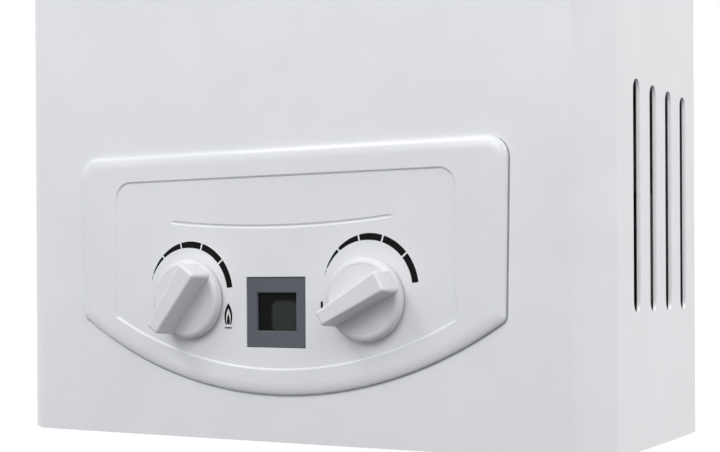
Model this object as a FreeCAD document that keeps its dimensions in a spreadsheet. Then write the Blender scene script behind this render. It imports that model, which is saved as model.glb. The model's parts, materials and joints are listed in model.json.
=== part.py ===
# Portable propane water heater, tankless, about six litres a minute.
# Millimetres. X runs to the right seen from the front, the front faces -Y, Z is up.
# Origin: middle of the heater's overall width and depth, at the level of the case's lower rim.
import FreeCAD, Part
import math
import os
import Sketcher

doc = FreeCAD.newDocument("water_heater")
sheet = doc.addObject("Spreadsheet::Sheet", "sizes")
pieces = {}
X_AXIS = FreeCAD.Vector(1, 0, 0)
Y_AXIS = FreeCAD.Vector(0, 1, 0)
Z_AXIS = FreeCAD.Vector(0, 0, 1)


# A size is a number together with the sheet expression that gives it.
class Size:
    def __init__(self, value, text):
        self.value = float(value)
        self.text = text

    def __add__(self, other):
        return combine(self, "+", other)

    def __radd__(self, other):
        return combine(other, "+", self)

    def __sub__(self, other):
        return combine(self, "-", other)

    def __rsub__(self, other):
        return combine(other, "-", self)

    def __mul__(self, other):
        return combine(self, "*", other)

    def __rmul__(self, other):
        return combine(other, "*", self)

    def __truediv__(self, other):
        return combine(self, "/", other)

    def __neg__(self):
        return combine(0, "-", self)


def as_size(item):
    if isinstance(item, Size):
        return item
    return Size(item, f"({float(item)})")


def combine(first, sign, second):
    a = as_size(first)
    b = as_size(second)
    if sign == "+":
        result = a.value + b.value
    elif sign == "-":
        result = a.value - b.value
    elif sign == "*":
        result = a.value * b.value
    else:
        result = a.value / b.value
    return Size(result, f"({a.text} {sign} {b.text})")


def root(item):
    return Size(math.sqrt(item.value), f"sqrt({item.text})")


def size(name, value):
    row = len(sheet.getUsedCells()) // 2 + 1
    sheet.set(f"A{row}", name)
    sheet.set(f"B{row}", str(value))
    sheet.setAlias(f"B{row}", name)
    return Size(value, f"sizes.{name}")


# Case and sheet metal
case_width = size("case_width", 295)
case_depth = size("case_depth", 120)
case_height = size("case_height", 400)
corner_cut_x = size("corner_cut_x", 13.8)
corner_cut_y = size("corner_cut_y", 11.5)
bend_radius = size("bend_radius", 2.4)
cover_sheet = size("cover_sheet", 0.8)
plate_sheet = size("plate_sheet", 1.0)
cover_gap = size("cover_gap", 0.3)
flange_depth = size("flange_depth", 12)
skirt_height = size("skirt_height", 42)
wall_hole_radius = size("wall_hole_radius", 3)
wall_hole_spacing = size("wall_hole_spacing", 220)
wall_hole_low = size("wall_hole_low", 20)
wall_hole_rise = size("wall_hole_rise", 364)

# Louvres in both sides
slot_count = size("slot_count", 4)
slot_pitch = size("slot_pitch", 21.65)
slot_first = size("slot_first", 32.3)
slot_width = size("slot_width", 9.5)
slot_length = size("slot_length", 94)
slot_bottom = size("slot_bottom", 55.8)
lip_width = size("lip_width", 2.4)
lip_angle = size("lip_angle", 32)

# Control panel
panel_width = size("panel_width", 215.6)
panel_top = size("panel_top", 126.6)
panel_corner_level = size("panel_corner_level", 53.3)
panel_dip = size("panel_dip", 32.8)
panel_taper = size("panel_taper", 1.4)
panel_rise = size("panel_rise", 2.3)
panel_recess = size("panel_recess", 0.7)
panel_top_radius = size("panel_top_radius", 9)
panel_low_radius = size("panel_low_radius", 4)
panel_edge_round = size("panel_edge_round", 1.8)
recess_width = size("recess_width", 172)
recess_top = size("recess_top", 115.1)
recess_margin = size("recess_margin", 10.5)
recess_radius = size("recess_radius", 8)
groove_width = size("groove_width", 111)
groove_level = size("groove_level", 96.1)
groove_sag = size("groove_sag", 3.2)
groove_radius = size("groove_radius", 0.7)
groove_depth = size("groove_depth", 0.5)
panel_opening_width = size("panel_opening_width", 132)
panel_opening_low = size("panel_opening_low", 37)
panel_opening_height = size("panel_opening_height", 50)
panel_stud_radius = size("panel_stud_radius", 2.5)
panel_stud_length = size("panel_stud_length", 9)
panel_stud_spacing = size("panel_stud_spacing", 184)
panel_stud_level = size("panel_stud_level", 98)
stud_clearance = size("stud_clearance", 0.2)

# Display
display_width = size("display_width", 29.8)
display_height = size("display_height", 30.2)
display_low = size("display_low", 40.9)
window_width = size("window_width", 19.6)
window_height = size("window_height", 16.3)
window_low = size("window_low", 48)
display_sink = size("display_sink", 0.5)
display_flange = size("display_flange", 2)
display_flange_thick = size("display_flange_thick", 1.4)
display_depth = size("display_depth", 8)
display_wall = size("display_wall", 1.6)
lens_thick = size("lens_thick", 1.2)
lens_sink = size("lens_sink", 1.3)
board_thick = size("board_thick", 1.6)
fit_gap = size("fit_gap", 0.15)

# Knobs
knob_spacing = size("knob_spacing", 90)
knob_level = size("knob_level", 61.5)
knob_radius = size("knob_radius", 17.5)
knob_base = size("knob_base", 5)
knob_height = size("knob_height", 15.6)
knob_gap = size("knob_gap", 0.6)
knob_rim = size("knob_rim", 1.2)
knob_dish = size("knob_dish", 1.0)
knob_wall = size("knob_wall", 1.8)
knob_hub_radius = size("knob_hub_radius", 5.5)
ridge_reach = size("ridge_reach", 17.2)
ridge_tip = size("ridge_tip", 8.4)
ridge_tail = size("ridge_tail", 11.4)
ridge_taper = size("ridge_taper", 4)
ridge_round = size("ridge_round", 0.9)
gas_pointer = size("gas_pointer", 234)
water_pointer = size("water_pointer", 209)
spindle_radius = size("spindle_radius", 3)
spindle_grip = size("spindle_grip", 10)
spindle_seat = size("spindle_seat", 13)
run_gap = size("run_gap", 0.05)
spindle_hole_radius = size("spindle_hole_radius", 5)

# Valves
valve_width = size("valve_width", 36)
valve_depth = size("valve_depth", 48)
valve_height = size("valve_height", 32)
valve_lift = size("valve_lift", 3)
valve_front = size("valve_front", 25)
port_inset = size("port_inset", 35)
solenoid_radius = size("solenoid_radius", 11)
solenoid_length = size("solenoid_length", 23)
solenoid_cap = size("solenoid_cap", 3)
front_boss = size("front_boss", 5)
port_boss = size("port_boss", 4)
diaphragm_radius = size("diaphragm_radius", 19)
diaphragm_thick = size("diaphragm_thick", 0.8)
housing_wall = size("housing_wall", 2)
housing_thick = size("housing_thick", 9)
diaphragm_level = size("diaphragm_level", 66)
pushrod_radius = size("pushrod_radius", 2)
pushrod_travel = size("pushrod_travel", 3)
pushrod_seat = size("pushrod_seat", 4)
plate_radius = size("plate_radius", 14)
plate_thick = size("plate_thick", 2)
collar_radius = size("collar_radius", 8)
collar_thick = size("collar_thick", 2)
switch_thick = size("switch_thick", 6.5)
switch_width = size("switch_width", 13)
switch_height = size("switch_height", 6)
button_radius = size("button_radius", 1)
button_reach = size("button_reach", 1.7)
touch_gap = size("touch_gap", 0.3)
bracket_sheet = size("bracket_sheet", 1.2)
bracket_foot = size("bracket_foot", 10)

# Pipe fittings under the case
water_thread_radius = size("water_thread_radius", 10.4775)
gas_thread_radius = size("gas_thread_radius", 7.9375)
thread_length = size("thread_length", 18)
water_hex = size("water_hex", 27)
gas_hex = size("gas_hex", 19)
hex_height = size("hex_height", 9)
water_bore = size("water_bore", 7)
gas_bore = size("gas_bore", 4.5)
neck_radius = size("neck_radius", 9)
outlet_side_gap = size("outlet_side_gap", 32)
filter_length = size("filter_length", 8)
plug_radius = size("plug_radius", 8)
plug_neck_radius = size("plug_neck_radius", 4)
plug_head = size("plug_head", 14)
plug_side = size("plug_side", 10)
plug_forward = size("plug_forward", 22)
hole_clearance = size("hole_clearance", 0.4)

# Burner and heat exchanger
burner_low = size("burner_low", 120)
burner_frame_height = size("burner_frame_height", 58)
burner_frame_width = size("burner_frame_width", 176)
burner_frame_depth = size("burner_frame_depth", 90)
burner_rear_gap = size("burner_rear_gap", 14)
bar_count = size("bar_count", 8)
bar_pitch = size("bar_pitch", 20)
bar_width = size("bar_width", 9)
bar_height = size("bar_height", 40)
bar_margin = size("bar_margin", 4)
bar_sheet = size("bar_sheet", 0.8)
ledge_width = size("ledge_width", 8)
ledge_lift = size("ledge_lift", 10)
throat_radius = size("throat_radius", 4)
manifold_size = size("manifold_size", 11)
manifold_wall = size("manifold_wall", 1.5)
manifold_gap = size("manifold_gap", 2.5)
riser_forward = size("riser_forward", 28)
riser_gap = size("riser_gap", 2)
nozzle_radius = size("nozzle_radius", 3)
nozzle_bore = size("nozzle_bore", 0.5)
nozzle_level = size("nozzle_level", 140)
electrode_radius = size("electrode_radius", 2.5)
electrode_wire = size("electrode_wire", 0.8)
electrode_rise = size("electrode_rise", 4)
electrode_pitch = size("electrode_pitch", 20)
electrode_front = size("electrode_front", 8)
electrode_reach = size("electrode_reach", 16)
chamber_height = size("chamber_height", 162)
chamber_inset = size("chamber_inset", 3)
copper_sheet = size("copper_sheet", 0.8)
tube_radius = size("tube_radius", 6)
tube_wall = size("tube_wall", 1)
coil_side_gap = size("coil_side_gap", 14)
coil_low = size("coil_low", 32)
coil_pitch = size("coil_pitch", 30)
fin_pitch = size("fin_pitch", 5)
fin_thick = size("fin_thick", 0.5)
fin_height = size("fin_height", 38)
fin_top_gap = size("fin_top_gap", 9)
pass_pitch = size("pass_pitch", 20)
thermostat_radius = size("thermostat_radius", 8)
thermostat_height = size("thermostat_height", 7)
join_level = size("join_level", 190)
turn_drop = size("turn_drop", 12)

# Flue and rain cap on the top
flue_width = size("flue_width", 146)
flue_depth = size("flue_depth", 60)
cap_margin = size("cap_margin", 5)
cap_height = size("cap_height", 27)
cap_flange = size("cap_flange", 8)
cap_rear = size("cap_rear", 22)
cap_slot_height = size("cap_slot_height", 3.5)
cap_slot_pitch = size("cap_slot_pitch", 7)

# Carrying handle
handle_span = size("handle_span", 214)
handle_arm = size("handle_arm", 60)
handle_radius = size("handle_radius", 4)
handle_pin_radius = size("handle_pin_radius", 3)
handle_pin_length = size("handle_pin_length", 9)
handle_lift = size("handle_lift", 9)
handle_back = size("handle_back", 50)
grip_radius = size("grip_radius", 8.5)
grip_length = size("grip_length", 120)
ear_thick = size("ear_thick", 2)
ear_width = size("ear_width", 16)
ear_gap = size("ear_gap", 2)
ear_foot = size("ear_foot", 12)

# Battery box with two large cells
cell_radius = size("cell_radius", 16.6)
cell_length = size("cell_length", 60)
nub_radius = size("nub_radius", 4.5)
nub_height = size("nub_height", 1.5)
cell_gap = size("cell_gap", 1)
box_wall = size("box_wall", 1.5)
box_right_gap = size("box_right_gap", 6)
box_back_gap = size("box_back_gap", 7)
contact_thick = size("contact_thick", 0.6)
door_thick = size("door_thick", 1.6)
door_pin_radius = size("door_pin_radius", 1)
door_knuckle_radius = size("door_knuckle_radius", 2.3)
tab_depth = size("tab_depth", 8)

# Screws and small fittings
screw_radius = size("screw_radius", 2)
screw_head_radius = size("screw_head_radius", 3.6)
screw_head_height = size("screw_head_height", 1.8)
screw_length = size("screw_length", 8)
cover_screw_low = size("cover_screw_low", 215)
cover_screw_rise = size("cover_screw_rise", 165)
controller_width = size("controller_width", 44)
controller_height = size("controller_height", 46)
controller_depth = size("controller_depth", 24)
controller_lift = size("controller_lift", 16)
tilt_size = size("tilt_size", 18)
doc.recompute()


# Building helpers
def bind(item, prop, value):
    item.setExpression(prop, as_size(value).text)


def place(item, point, rotation=None):
    if rotation is not None:
        item.Placement = FreeCAD.Placement(FreeCAD.Vector(0, 0, 0), rotation)
    for letter, value in zip("xyz", point):
        bind(item, f"Placement.Base.{letter}", value)


def make_box(name, low, high):
    item = doc.addObject("Part::Box", name)
    for prop, start, end in zip(("Length", "Width", "Height"), low, high):
        bind(item, prop, end - start)
    place(item, low)
    return item


def axis_turn(axis):
    turns = {
        "X": FreeCAD.Rotation(Y_AXIS, 90),
        "Y": FreeCAD.Rotation(X_AXIS, -90),
        "Z": FreeCAD.Rotation(Z_AXIS, 0),
    }
    return turns[axis]


def make_rod(name, axis, start, length, radius):
    item = doc.addObject("Part::Cylinder", name)
    bind(item, "Radius", radius)
    bind(item, "Height", length)
    place(item, start, axis_turn(axis))
    return item


def make_hex(name, start, height, across_flats):
    item = doc.addObject("Part::Prism", name)
    item.Polygon = 6
    bind(item, "Circumradius", across_flats / root(as_size(3)))
    bind(item, "Height", height)
    place(item, start)
    return item


def make_ball(name, centre, radius):
    item = doc.addObject("Part::Sphere", name)
    bind(item, "Radius", radius)
    place(item, centre)
    return item


def join(name, items):
    item = doc.addObject("Part::MultiFuse", name)
    item.Shapes = list(items)
    return item


def cut(name, base, tools):
    tool = tools[0]
    if len(tools) > 1:
        tool = join(f"{name}_tools", tools)
    item = doc.addObject("Part::Cut", name)
    item.Base = base
    item.Tool = tool
    return item


def group(name, items):
    item = doc.addObject("Part::Compound", name)
    item.Links = list(items)
    return item


def keep(name, item):
    item.Label = name
    pieces[name] = item
    return item


def make_pipe(name, points, radius, wall):
    shells = []
    for label, run_radius in (("outside", radius), ("bore", radius - wall)):
        runs = []
        for number in range(len(points) - 1):
            start = points[number]
            end = points[number + 1]
            for letter, low, high in zip("XYZ", start, end):
                step = as_size(high).value - as_size(low).value
                if abs(step) > 1e-6:
                    origin = start if step > 0 else end
                    length = high - low if step > 0 else low - high
                    runs.append(make_rod(f"{name}_{label}_run", letter, origin, length, run_radius))
        for point in points[1:-1]:
            runs.append(make_ball(f"{name}_{label}_bend", point, run_radius))
        if len(runs) > 1:
            shells.append(join(f"{name}_{label}", runs))
        else:
            shells.append(runs[0])
    return cut(name, shells[0], [shells[1]])


def make_body(name):
    body = doc.addObject("PartDesign::Body", name)
    return body


def add_sketch(body, role, name, offset=None):
    sketch = body.newObject("Sketcher::SketchObject", name)
    planes = [plane for plane in body.Origin.OriginFeatures if plane.Role == role]
    sketch.AttachmentSupport = [(planes[0], "")]
    sketch.MapMode = "FlatFace"
    if offset is not None:
        bind(sketch, "AttachmentOffset.Base.z", offset)
    return sketch


def pin_point(sketch, index, vertex, point):
    for kind, axis, value in (("DistanceX", -2, point[0]), ("DistanceY", -1, point[1])):
        value = as_size(value)
        if abs(value.value) < 1e-9:
            sketch.addConstraint(Sketcher.Constraint("PointOnObject", index, vertex, axis))
        else:
            number = sketch.addConstraint(
                Sketcher.Constraint(kind, -1, 1, index, vertex, value.value))
            sketch.setExpression(f"Constraints[{number}]", value.text)


def draw_circle(sketch, point, radius):
    centre = FreeCAD.Vector(as_size(point[0]).value, as_size(point[1]).value, 0)
    index = sketch.addGeometry(Part.Circle(centre, Z_AXIS, radius.value), False)
    number = sketch.addConstraint(Sketcher.Constraint("Radius", index, radius.value))
    sketch.setExpression(f"Constraints[{number}]", radius.text)
    pin_point(sketch, index, 3, point)


# A closed outline drawn anticlockwise. An edge named in arcs bulges outwards with that radius.
def draw_outline(sketch, points, arcs=None):
    arcs = arcs or {}
    first = sketch.GeometryCount
    count = len(points)
    spots = []
    for point in points:
        spots.append(FreeCAD.Vector(as_size(point[0]).value, as_size(point[1]).value, 0))
    for number in range(count):
        start = spots[number]
        end = spots[(number + 1) % count]
        if number in arcs:
            radius = arcs[number]
            chord = end - start
            side = FreeCAD.Vector(-chord.y, chord.x, 0)
            side.normalize()
            reach = math.sqrt(radius.value ** 2 - (chord.Length / 2) ** 2)
            centre = (start + end) * 0.5 + side * reach
            first_angle = math.atan2(start.y - centre.y, start.x - centre.x)
            last_angle = math.atan2(end.y - centre.y, end.x - centre.x)
            circle = Part.Circle(centre, Z_AXIS, radius.value)
            sketch.addGeometry(Part.ArcOfCircle(circle, first_angle, last_angle), False)
        else:
            sketch.addGeometry(Part.LineSegment(start, end), False)
    for number in range(count):
        following = first + (number + 1) % count
        sketch.addConstraint(
            Sketcher.Constraint("Coincident", first + number, 2, following, 1))
    for number, point in enumerate(points):
        pin_point(sketch, first + number, 1, point)
    for number, radius in arcs.items():
        index = sketch.addConstraint(
            Sketcher.Constraint("Radius", first + number, radius.value))
        sketch.setExpression(f"Constraints[{index}]", radius.text)


def add_pad(body, sketch, length, taper=None):
    pad = body.newObject("PartDesign::Pad", f"{sketch.Name}_pad")
    pad.Profile = sketch
    bind(pad, "Length", length)
    if taper is not None:
        bind(pad, "TaperAngle", taper)
    doc.recompute()
    return pad


def add_pocket(body, sketch, length, into_front=False):
    before = body.Shape.Volume
    pocket = body.newObject("PartDesign::Pocket", f"{sketch.Name}_pocket")
    pocket.Profile = sketch
    pocket.Reversed = into_front
    bind(pocket, "Length", length)
    doc.recompute()
    if body.Shape.Volume > before - 1e-3:
        raise RuntimeError(f"{pocket.Name} cuts nothing")
    return pocket


# Names of the edges whose middle point passes a test.
def edges_where(shape, test):
    names = []
    for number, edge in enumerate(shape.Edges, 1):
        middle = edge.valueAt((edge.FirstParameter + edge.LastParameter) / 2)
        if test(edge, middle):
            names.append(f"Edge{number}")
    return names


def add_fillet(body, feature, radius, test):
    fillet = body.newObject("PartDesign::Fillet", f"{body.Name}_round")
    fillet.Base = (feature, edges_where(feature.Shape, test))
    bind(fillet, "Radius", radius)
    doc.recompute()
    return fillet


# Shared levels and planes
half_width = case_width / 2
overall_depth = case_depth + panel_rise - panel_recess + knob_gap + knob_height
rear_plane = overall_depth / 2
plate_front = rear_plane - plate_sheet
front_plane = rear_plane - case_depth
inner_front = front_plane + cover_sheet
corner_slant = root(corner_cut_x * corner_cut_x + corner_cut_y * corner_cut_y)
cover_inner_half = half_width - cover_sheet
plate_half = cover_inner_half - cover_gap
floor_top = skirt_height + plate_sheet
panel_front = front_plane - panel_rise
recess_plane = panel_front + panel_recess
knob_back = recess_plane - knob_gap
knob_x = knob_spacing / 2
valve_low = floor_top + valve_lift
valve_top = valve_low + valve_height
valve_front_plane = front_plane + valve_front
valve_back_plane = valve_front_plane + valve_depth
port_y = valve_front_plane + port_inset
top_under = case_height - cover_sheet


# The case outline seen from above, drawn inside the outer one by an inset.
def case_outline(inset):
    side_mitre = inset * (corner_slant - corner_cut_y) / corner_cut_x
    front_mitre = inset * (corner_slant - corner_cut_x) / corner_cut_y
    side = half_width - inset
    shoulder = front_plane + corner_cut_y + side_mitre
    nose = half_width - corner_cut_x - front_mitre
    front = front_plane + inset
    return side, shoulder, nose, front


def make_front_cover():
    body = make_body("cover_shell")
    side, shoulder, nose, front = case_outline(as_size(0))
    outline = add_sketch(body, "XY_Plane", "cover_outline")
    draw_outline(outline, [
        (-side, rear_plane), (-side, shoulder), (-nose, front),
        (nose, front), (side, shoulder), (side, rear_plane)])
    pad = add_pad(body, outline, case_height)
    rear = rear_plane.value - bend_radius.value
    high = case_height.value - 0.01

    def is_bend(edge, middle):
        upright = abs(edge.tangentAt(edge.FirstParameter).z) > 0.9
        return middle.y < rear and (upright or middle.z > high)

    rounded = add_fillet(body, pad, bend_radius, is_bend)
    open_faces = []
    for number, face in enumerate(rounded.Shape.Faces, 1):
        centre = face.CenterOfMass
        if centre.z < 0.01 or centre.y > rear_plane.value - 0.01:
            open_faces.append(f"Face{number}")
    shell = body.newObject("PartDesign::Thickness", "cover_wall")
    shell.Base = (rounded, open_faces)
    bind(shell, "Value", cover_sheet)
    shell.Reversed = True
    doc.recompute()
    tools = [
        make_box("panel_opening",
                 (-panel_opening_width / 2, front_plane - 1, panel_opening_low),
                 (panel_opening_width / 2, inner_front + 1,
                  panel_opening_low + panel_opening_height)),
        make_box("flue_opening",
                 (-flue_width / 2, cap_middle - flue_depth / 2, top_under - 1),
                 (flue_width / 2, cap_middle + flue_depth / 2, case_height + 1)),
    ]
    tools += panel_stud_holes()
    lips = []
    for side_name, sign in (("right", 1), ("left", -1)):
        for number in range(int(slot_count.value)):
            tools += louvre_slot(side_name, sign, number)
            lips.append(louvre_lip(side_name, sign, number))
    for x, y, z, sign in cover_screw_places():
        start = x if sign < 0 else x - 2 * cover_sheet
        tools.append(make_rod("cover_screw_hole", "X", (start - cover_sheet, y, z),
                              4 * cover_sheet, screw_radius + hole_clearance))
    for x, y in cap_screw_places() + ear_screw_places():
        tools.append(make_rod("top_screw_hole", "Z", (x, y, top_under - 1),
                              cover_sheet + 2, screw_radius + stud_clearance))
    opened = cut("cover_opened", body, tools)
    keep("front_cover", join("front_cover", [opened] + lips))


def slot_front(number):
    return front_plane + slot_first + slot_pitch * number


def louvre_slot(side_name, sign, number):
    radius = slot_width / 2
    centre = slot_front(number) + radius
    low = half_width - 2 * cover_sheet if sign > 0 else -half_width - cover_sheet
    high = low + 3 * cover_sheet
    bottom = slot_bottom + radius
    top = slot_bottom + slot_length - radius
    name = f"louvre_{side_name}_{number}"
    return [
        make_box(f"{name}_slot", (low, centre - radius, bottom), (high, centre + radius, top)),
        make_rod(f"{name}_low_end", "X", (low, centre, bottom), high - low, radius),
        make_rod(f"{name}_top_end", "X", (low, centre, top), high - low, radius),
    ]


# The lip is the strip of sheet left on the slot's rear edge, bent inwards.
def louvre_lip(side_name, sign, number):
    radius = slot_width / 2
    rear = slot_front(number) + slot_width + cover_sheet / 2
    item = doc.addObject("Part::Box", f"louvre_{side_name}_{number}_lip")
    bind(item, "Length", cover_sheet)
    bind(item, "Width", lip_width)
    bind(item, "Height", slot_length - slot_width)
    wall = half_width if sign > 0 else -half_width + cover_sheet
    turn = 180 - lip_angle.value if sign > 0 else 180 + lip_angle.value
    start = (wall, rear, slot_bottom + radius)
    place(item, start, FreeCAD.Rotation(Z_AXIS, turn))
    text = (180 - lip_angle if sign > 0 else 180 + lip_angle).text
    item.setExpression("Placement.Rotation.Angle", text)
    return item


def cover_screw_places():
    places = []
    for sign in (1, -1):
        for z in (cover_screw_low, cover_screw_low + cover_screw_rise):
            places.append((sign * half_width, plate_front - flange_depth / 2, z, sign))
    return places


def wall_hole_places():
    places = []
    for x in (-wall_hole_spacing / 2, wall_hole_spacing / 2):
        for z in (wall_hole_low, wall_hole_low + wall_hole_rise):
            places.append((x, z))
    return places


def make_back_plate():
    top = top_under - bend_radius
    parts = [make_box("back_sheet", (-plate_half, plate_front, 0),
                      (plate_half, rear_plane, top))]
    for sign in (1, -1):
        outer = sign * plate_half
        inner = sign * (plate_half - plate_sheet)
        low = inner if sign > 0 else outer
        high = outer if sign > 0 else inner
        parts.append(make_box("back_flange", (low, rear_plane - flange_depth, 0),
                              (high, rear_plane, top)))
    holes = []
    for x, z in wall_hole_places():
        holes.append(make_rod("wall_hole", "Y", (x, plate_front - plate_sheet, z),
                              3 * plate_sheet, wall_hole_radius))
    for x, y, z, sign in cover_screw_places():
        start = x - 3 * plate_sheet
        holes.append(make_rod("flange_hole", "X", (start, y, z), 6 * plate_sheet,
                              screw_radius + stud_clearance))
    keep("back_plate", cut("back_plate", join("back_plate_blank", parts), holes))


# Battery box places, worked from the right wall and the back
box_inner_width = 4 * cell_radius + 3 * cell_gap
box_inner_depth = 2 * cell_radius + 2 * cell_gap
box_right = plate_half - plate_sheet - box_right_gap
box_left = box_right - box_inner_width - 2 * box_wall
box_back = plate_front - box_back_gap
box_front = box_back - box_inner_depth - 2 * box_wall
door_top = skirt_height - touch_gap
door_low = door_top - door_thick
cell_low = door_top + contact_thick + touch_gap
cell_top = cell_low + cell_length + nub_height
box_top = cell_top + touch_gap + contact_thick + box_wall
door_pin_y = box_back + door_knuckle_radius
door_pin_z = door_low - door_knuckle_radius
tab_outside = (box_left, box_right - bracket_sheet)
gas_x = -knob_x
water_x = knob_x
display_outer = display_width / 2 + display_flange
board_back = front_plane + display_depth + board_thick
outlet_offset = half_width - outlet_side_gap
plug_x = water_x + plug_side
plug_y = port_y - plug_forward


def make_bottom_plate():
    body = make_body("floor_sheet")
    side, shoulder, nose, front = case_outline(cover_sheet + cover_gap)
    inner_side = side - plate_sheet - cover_gap
    outline = add_sketch(body, "XY_Plane", "floor_outline", skirt_height)
    draw_outline(outline, [
        (-inner_side, plate_front), (-inner_side, shoulder), (-nose, front),
        (nose, front), (inner_side, shoulder), (inner_side, plate_front)])
    add_pad(body, outline, plate_sheet)
    parts = [body]
    parts.append(make_box("floor_back_flange",
                          (-inner_side, plate_front - plate_sheet, skirt_height),
                          (inner_side, plate_front, floor_top + bracket_foot)))
    low = skirt_height - 1
    through = plate_sheet + 2
    tools = [
        make_rod("gas_hole", "Z", (gas_x, port_y, low), through,
                 gas_thread_radius + hole_clearance),
        make_rod("inlet_hole", "Z", (water_x, port_y, low), through,
                 neck_radius + hole_clearance),
        make_rod("outlet_hole", "Z", (-outlet_offset, port_y, low), through,
                 neck_radius + hole_clearance),
        make_rod("plug_hole", "Z", (plug_x, plug_y, low), through,
                 plug_neck_radius + hole_clearance),
        make_box("battery_hole", (box_left + box_wall, box_front + box_wall, low),
                 (box_right - box_wall, box_back - box_wall, low + through)),
        make_box("display_notch", (-display_outer - fit_gap, front_plane, low),
                 (display_outer + fit_gap, board_back + touch_gap, low + through)),
    ]
    keep("bottom_plate", cut("bottom_plate", join("floor_blank", parts), tools))


# Two tabs welded under the floor plate carry the battery door's pin.
def make_hinge_tabs():
    tabs = []
    for x in tab_outside:
        plate = make_box("tab_plate", (x, door_pin_y - tab_depth / 2, door_pin_z - tab_depth / 2),
                         (x + bracket_sheet, door_pin_y + tab_depth / 2, skirt_height))
        hole = make_rod("tab_hole", "X", (x - 1, door_pin_y, door_pin_z), bracket_sheet + 2,
                        door_pin_radius)
        tabs.append(cut("hinge_tab", plate, [hole]))
    keep("hinge_tabs", group("hinge_tabs", tabs))


# Control panel outline: straight top and sides, a wide curved dip at the bottom
panel_half = panel_width / 2
dip_half = panel_half - panel_taper
dip_radius = (dip_half * dip_half + panel_dip * panel_dip) / (2 * panel_dip)
dip_centre = panel_corner_level - panel_dip + dip_radius
recess_half = recess_width / 2
recess_dip_radius = dip_radius - recess_margin
recess_corner = dip_centre - root(
    recess_dip_radius * recess_dip_radius - recess_half * recess_half)


def panel_stud_places():
    return [(-panel_stud_spacing / 2, panel_stud_level), (panel_stud_spacing / 2, panel_stud_level)]


def panel_stud_holes():
    holes = []
    for x, z in panel_stud_places():
        holes.append(make_rod("stud_hole", "Y", (x, front_plane - 1, z), cover_sheet + 2,
                              panel_stud_radius + stud_clearance))
    return holes


# A shallow groove that bows down in the middle, cut with part of a wide ring.
def panel_groove():
    half = groove_width / 2
    ring_radius = (half * half + groove_sag * groove_sag) / (2 * groove_sag)
    ring = doc.addObject("Part::Torus", "groove_ring")
    bind(ring, "Radius1", ring_radius)
    bind(ring, "Radius2", groove_radius)
    lift = groove_level - groove_sag + ring_radius
    place(ring, (0, recess_plane + groove_depth - groove_radius, lift), axis_turn("Y"))
    limit = make_box("groove_limit",
                     (-half, recess_plane - groove_radius, groove_level - 3 * groove_sag),
                     (half, front_plane, groove_level + groove_sag))
    item = doc.addObject("Part::Common", "groove_cutter")
    item.Base = ring
    item.Tool = limit
    return item


def make_control_panel():
    body = make_body("panel_moulding")
    back = add_sketch(body, "XZ_Plane", "panel_outline", -front_plane)
    draw_outline(back, [
        (-dip_half, panel_corner_level), (dip_half, panel_corner_level),
        (panel_half, panel_top), (-panel_half, panel_top)], {0: dip_radius})
    pad = add_pad(body, back, panel_rise)
    middle_height = (panel_top.value + panel_corner_level.value) / 2

    def is_top_corner(edge, middle):
        along = abs(edge.tangentAt(edge.FirstParameter).y) > 0.9
        return along and middle.z > middle_height

    def is_low_corner(edge, middle):
        along = abs(edge.tangentAt(edge.FirstParameter).y) > 0.9
        return along and middle.z < middle_height

    def is_front(edge, middle):
        return abs(middle.y - panel_front.value) < 1e-4

    corners = add_fillet(body, pad, panel_top_radius, is_top_corner)
    corners = add_fillet(body, corners, panel_low_radius, is_low_corner)
    add_fillet(body, corners, panel_edge_round, is_front)
    recess = add_sketch(body, "XZ_Plane", "panel_recess_outline", -panel_front)
    left = -recess_half
    round_left = left + recess_radius
    shoulder = recess_top - recess_radius
    draw_outline(recess, [
        (left, recess_corner), (recess_half, recess_corner), (recess_half, shoulder),
        (recess_half - recess_radius, recess_top), (round_left, recess_top), (left, shoulder)],
        {0: recess_dip_radius, 2: recess_radius, 4: recess_radius})
    add_pocket(body, recess, panel_recess)
    display_half = display_width / 2 + fit_gap
    low = recess_plane - 1
    deep = front_plane + 1
    tools = [make_box("display_hole", (-display_half, low, display_low - fit_gap),
                      (display_half, deep, display_low + display_height + fit_gap))]
    for x in (gas_x, water_x):
        tools.append(make_rod("spindle_hole", "Y", (x, low, knob_level), deep - low,
                              spindle_hole_radius))
    tools.append(panel_groove())
    studs = []
    for x, z in panel_stud_places():
        studs.append(make_rod("panel_stud", "Y", (x, front_plane - 0.5 * panel_recess, z),
                              panel_stud_length, panel_stud_radius))
    opened = cut("panel_opened", body, tools)
    keep("control_panel", join("control_panel", [opened] + studs))


def make_clip_washers():
    items = []
    for x, z in panel_stud_places():
        ring = make_rod("clip_ring", "Y", (x, inner_front, z), 3 * cover_sheet,
                        2 * panel_stud_radius)
        hole = make_rod("clip_hole", "Y", (x, inner_front - 1, z), 3 * cover_sheet + 2,
                        panel_stud_radius)
        items.append(cut("panel_clip", ring, [hole]))
    keep("panel_clips", group("panel_clips", items))


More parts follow.
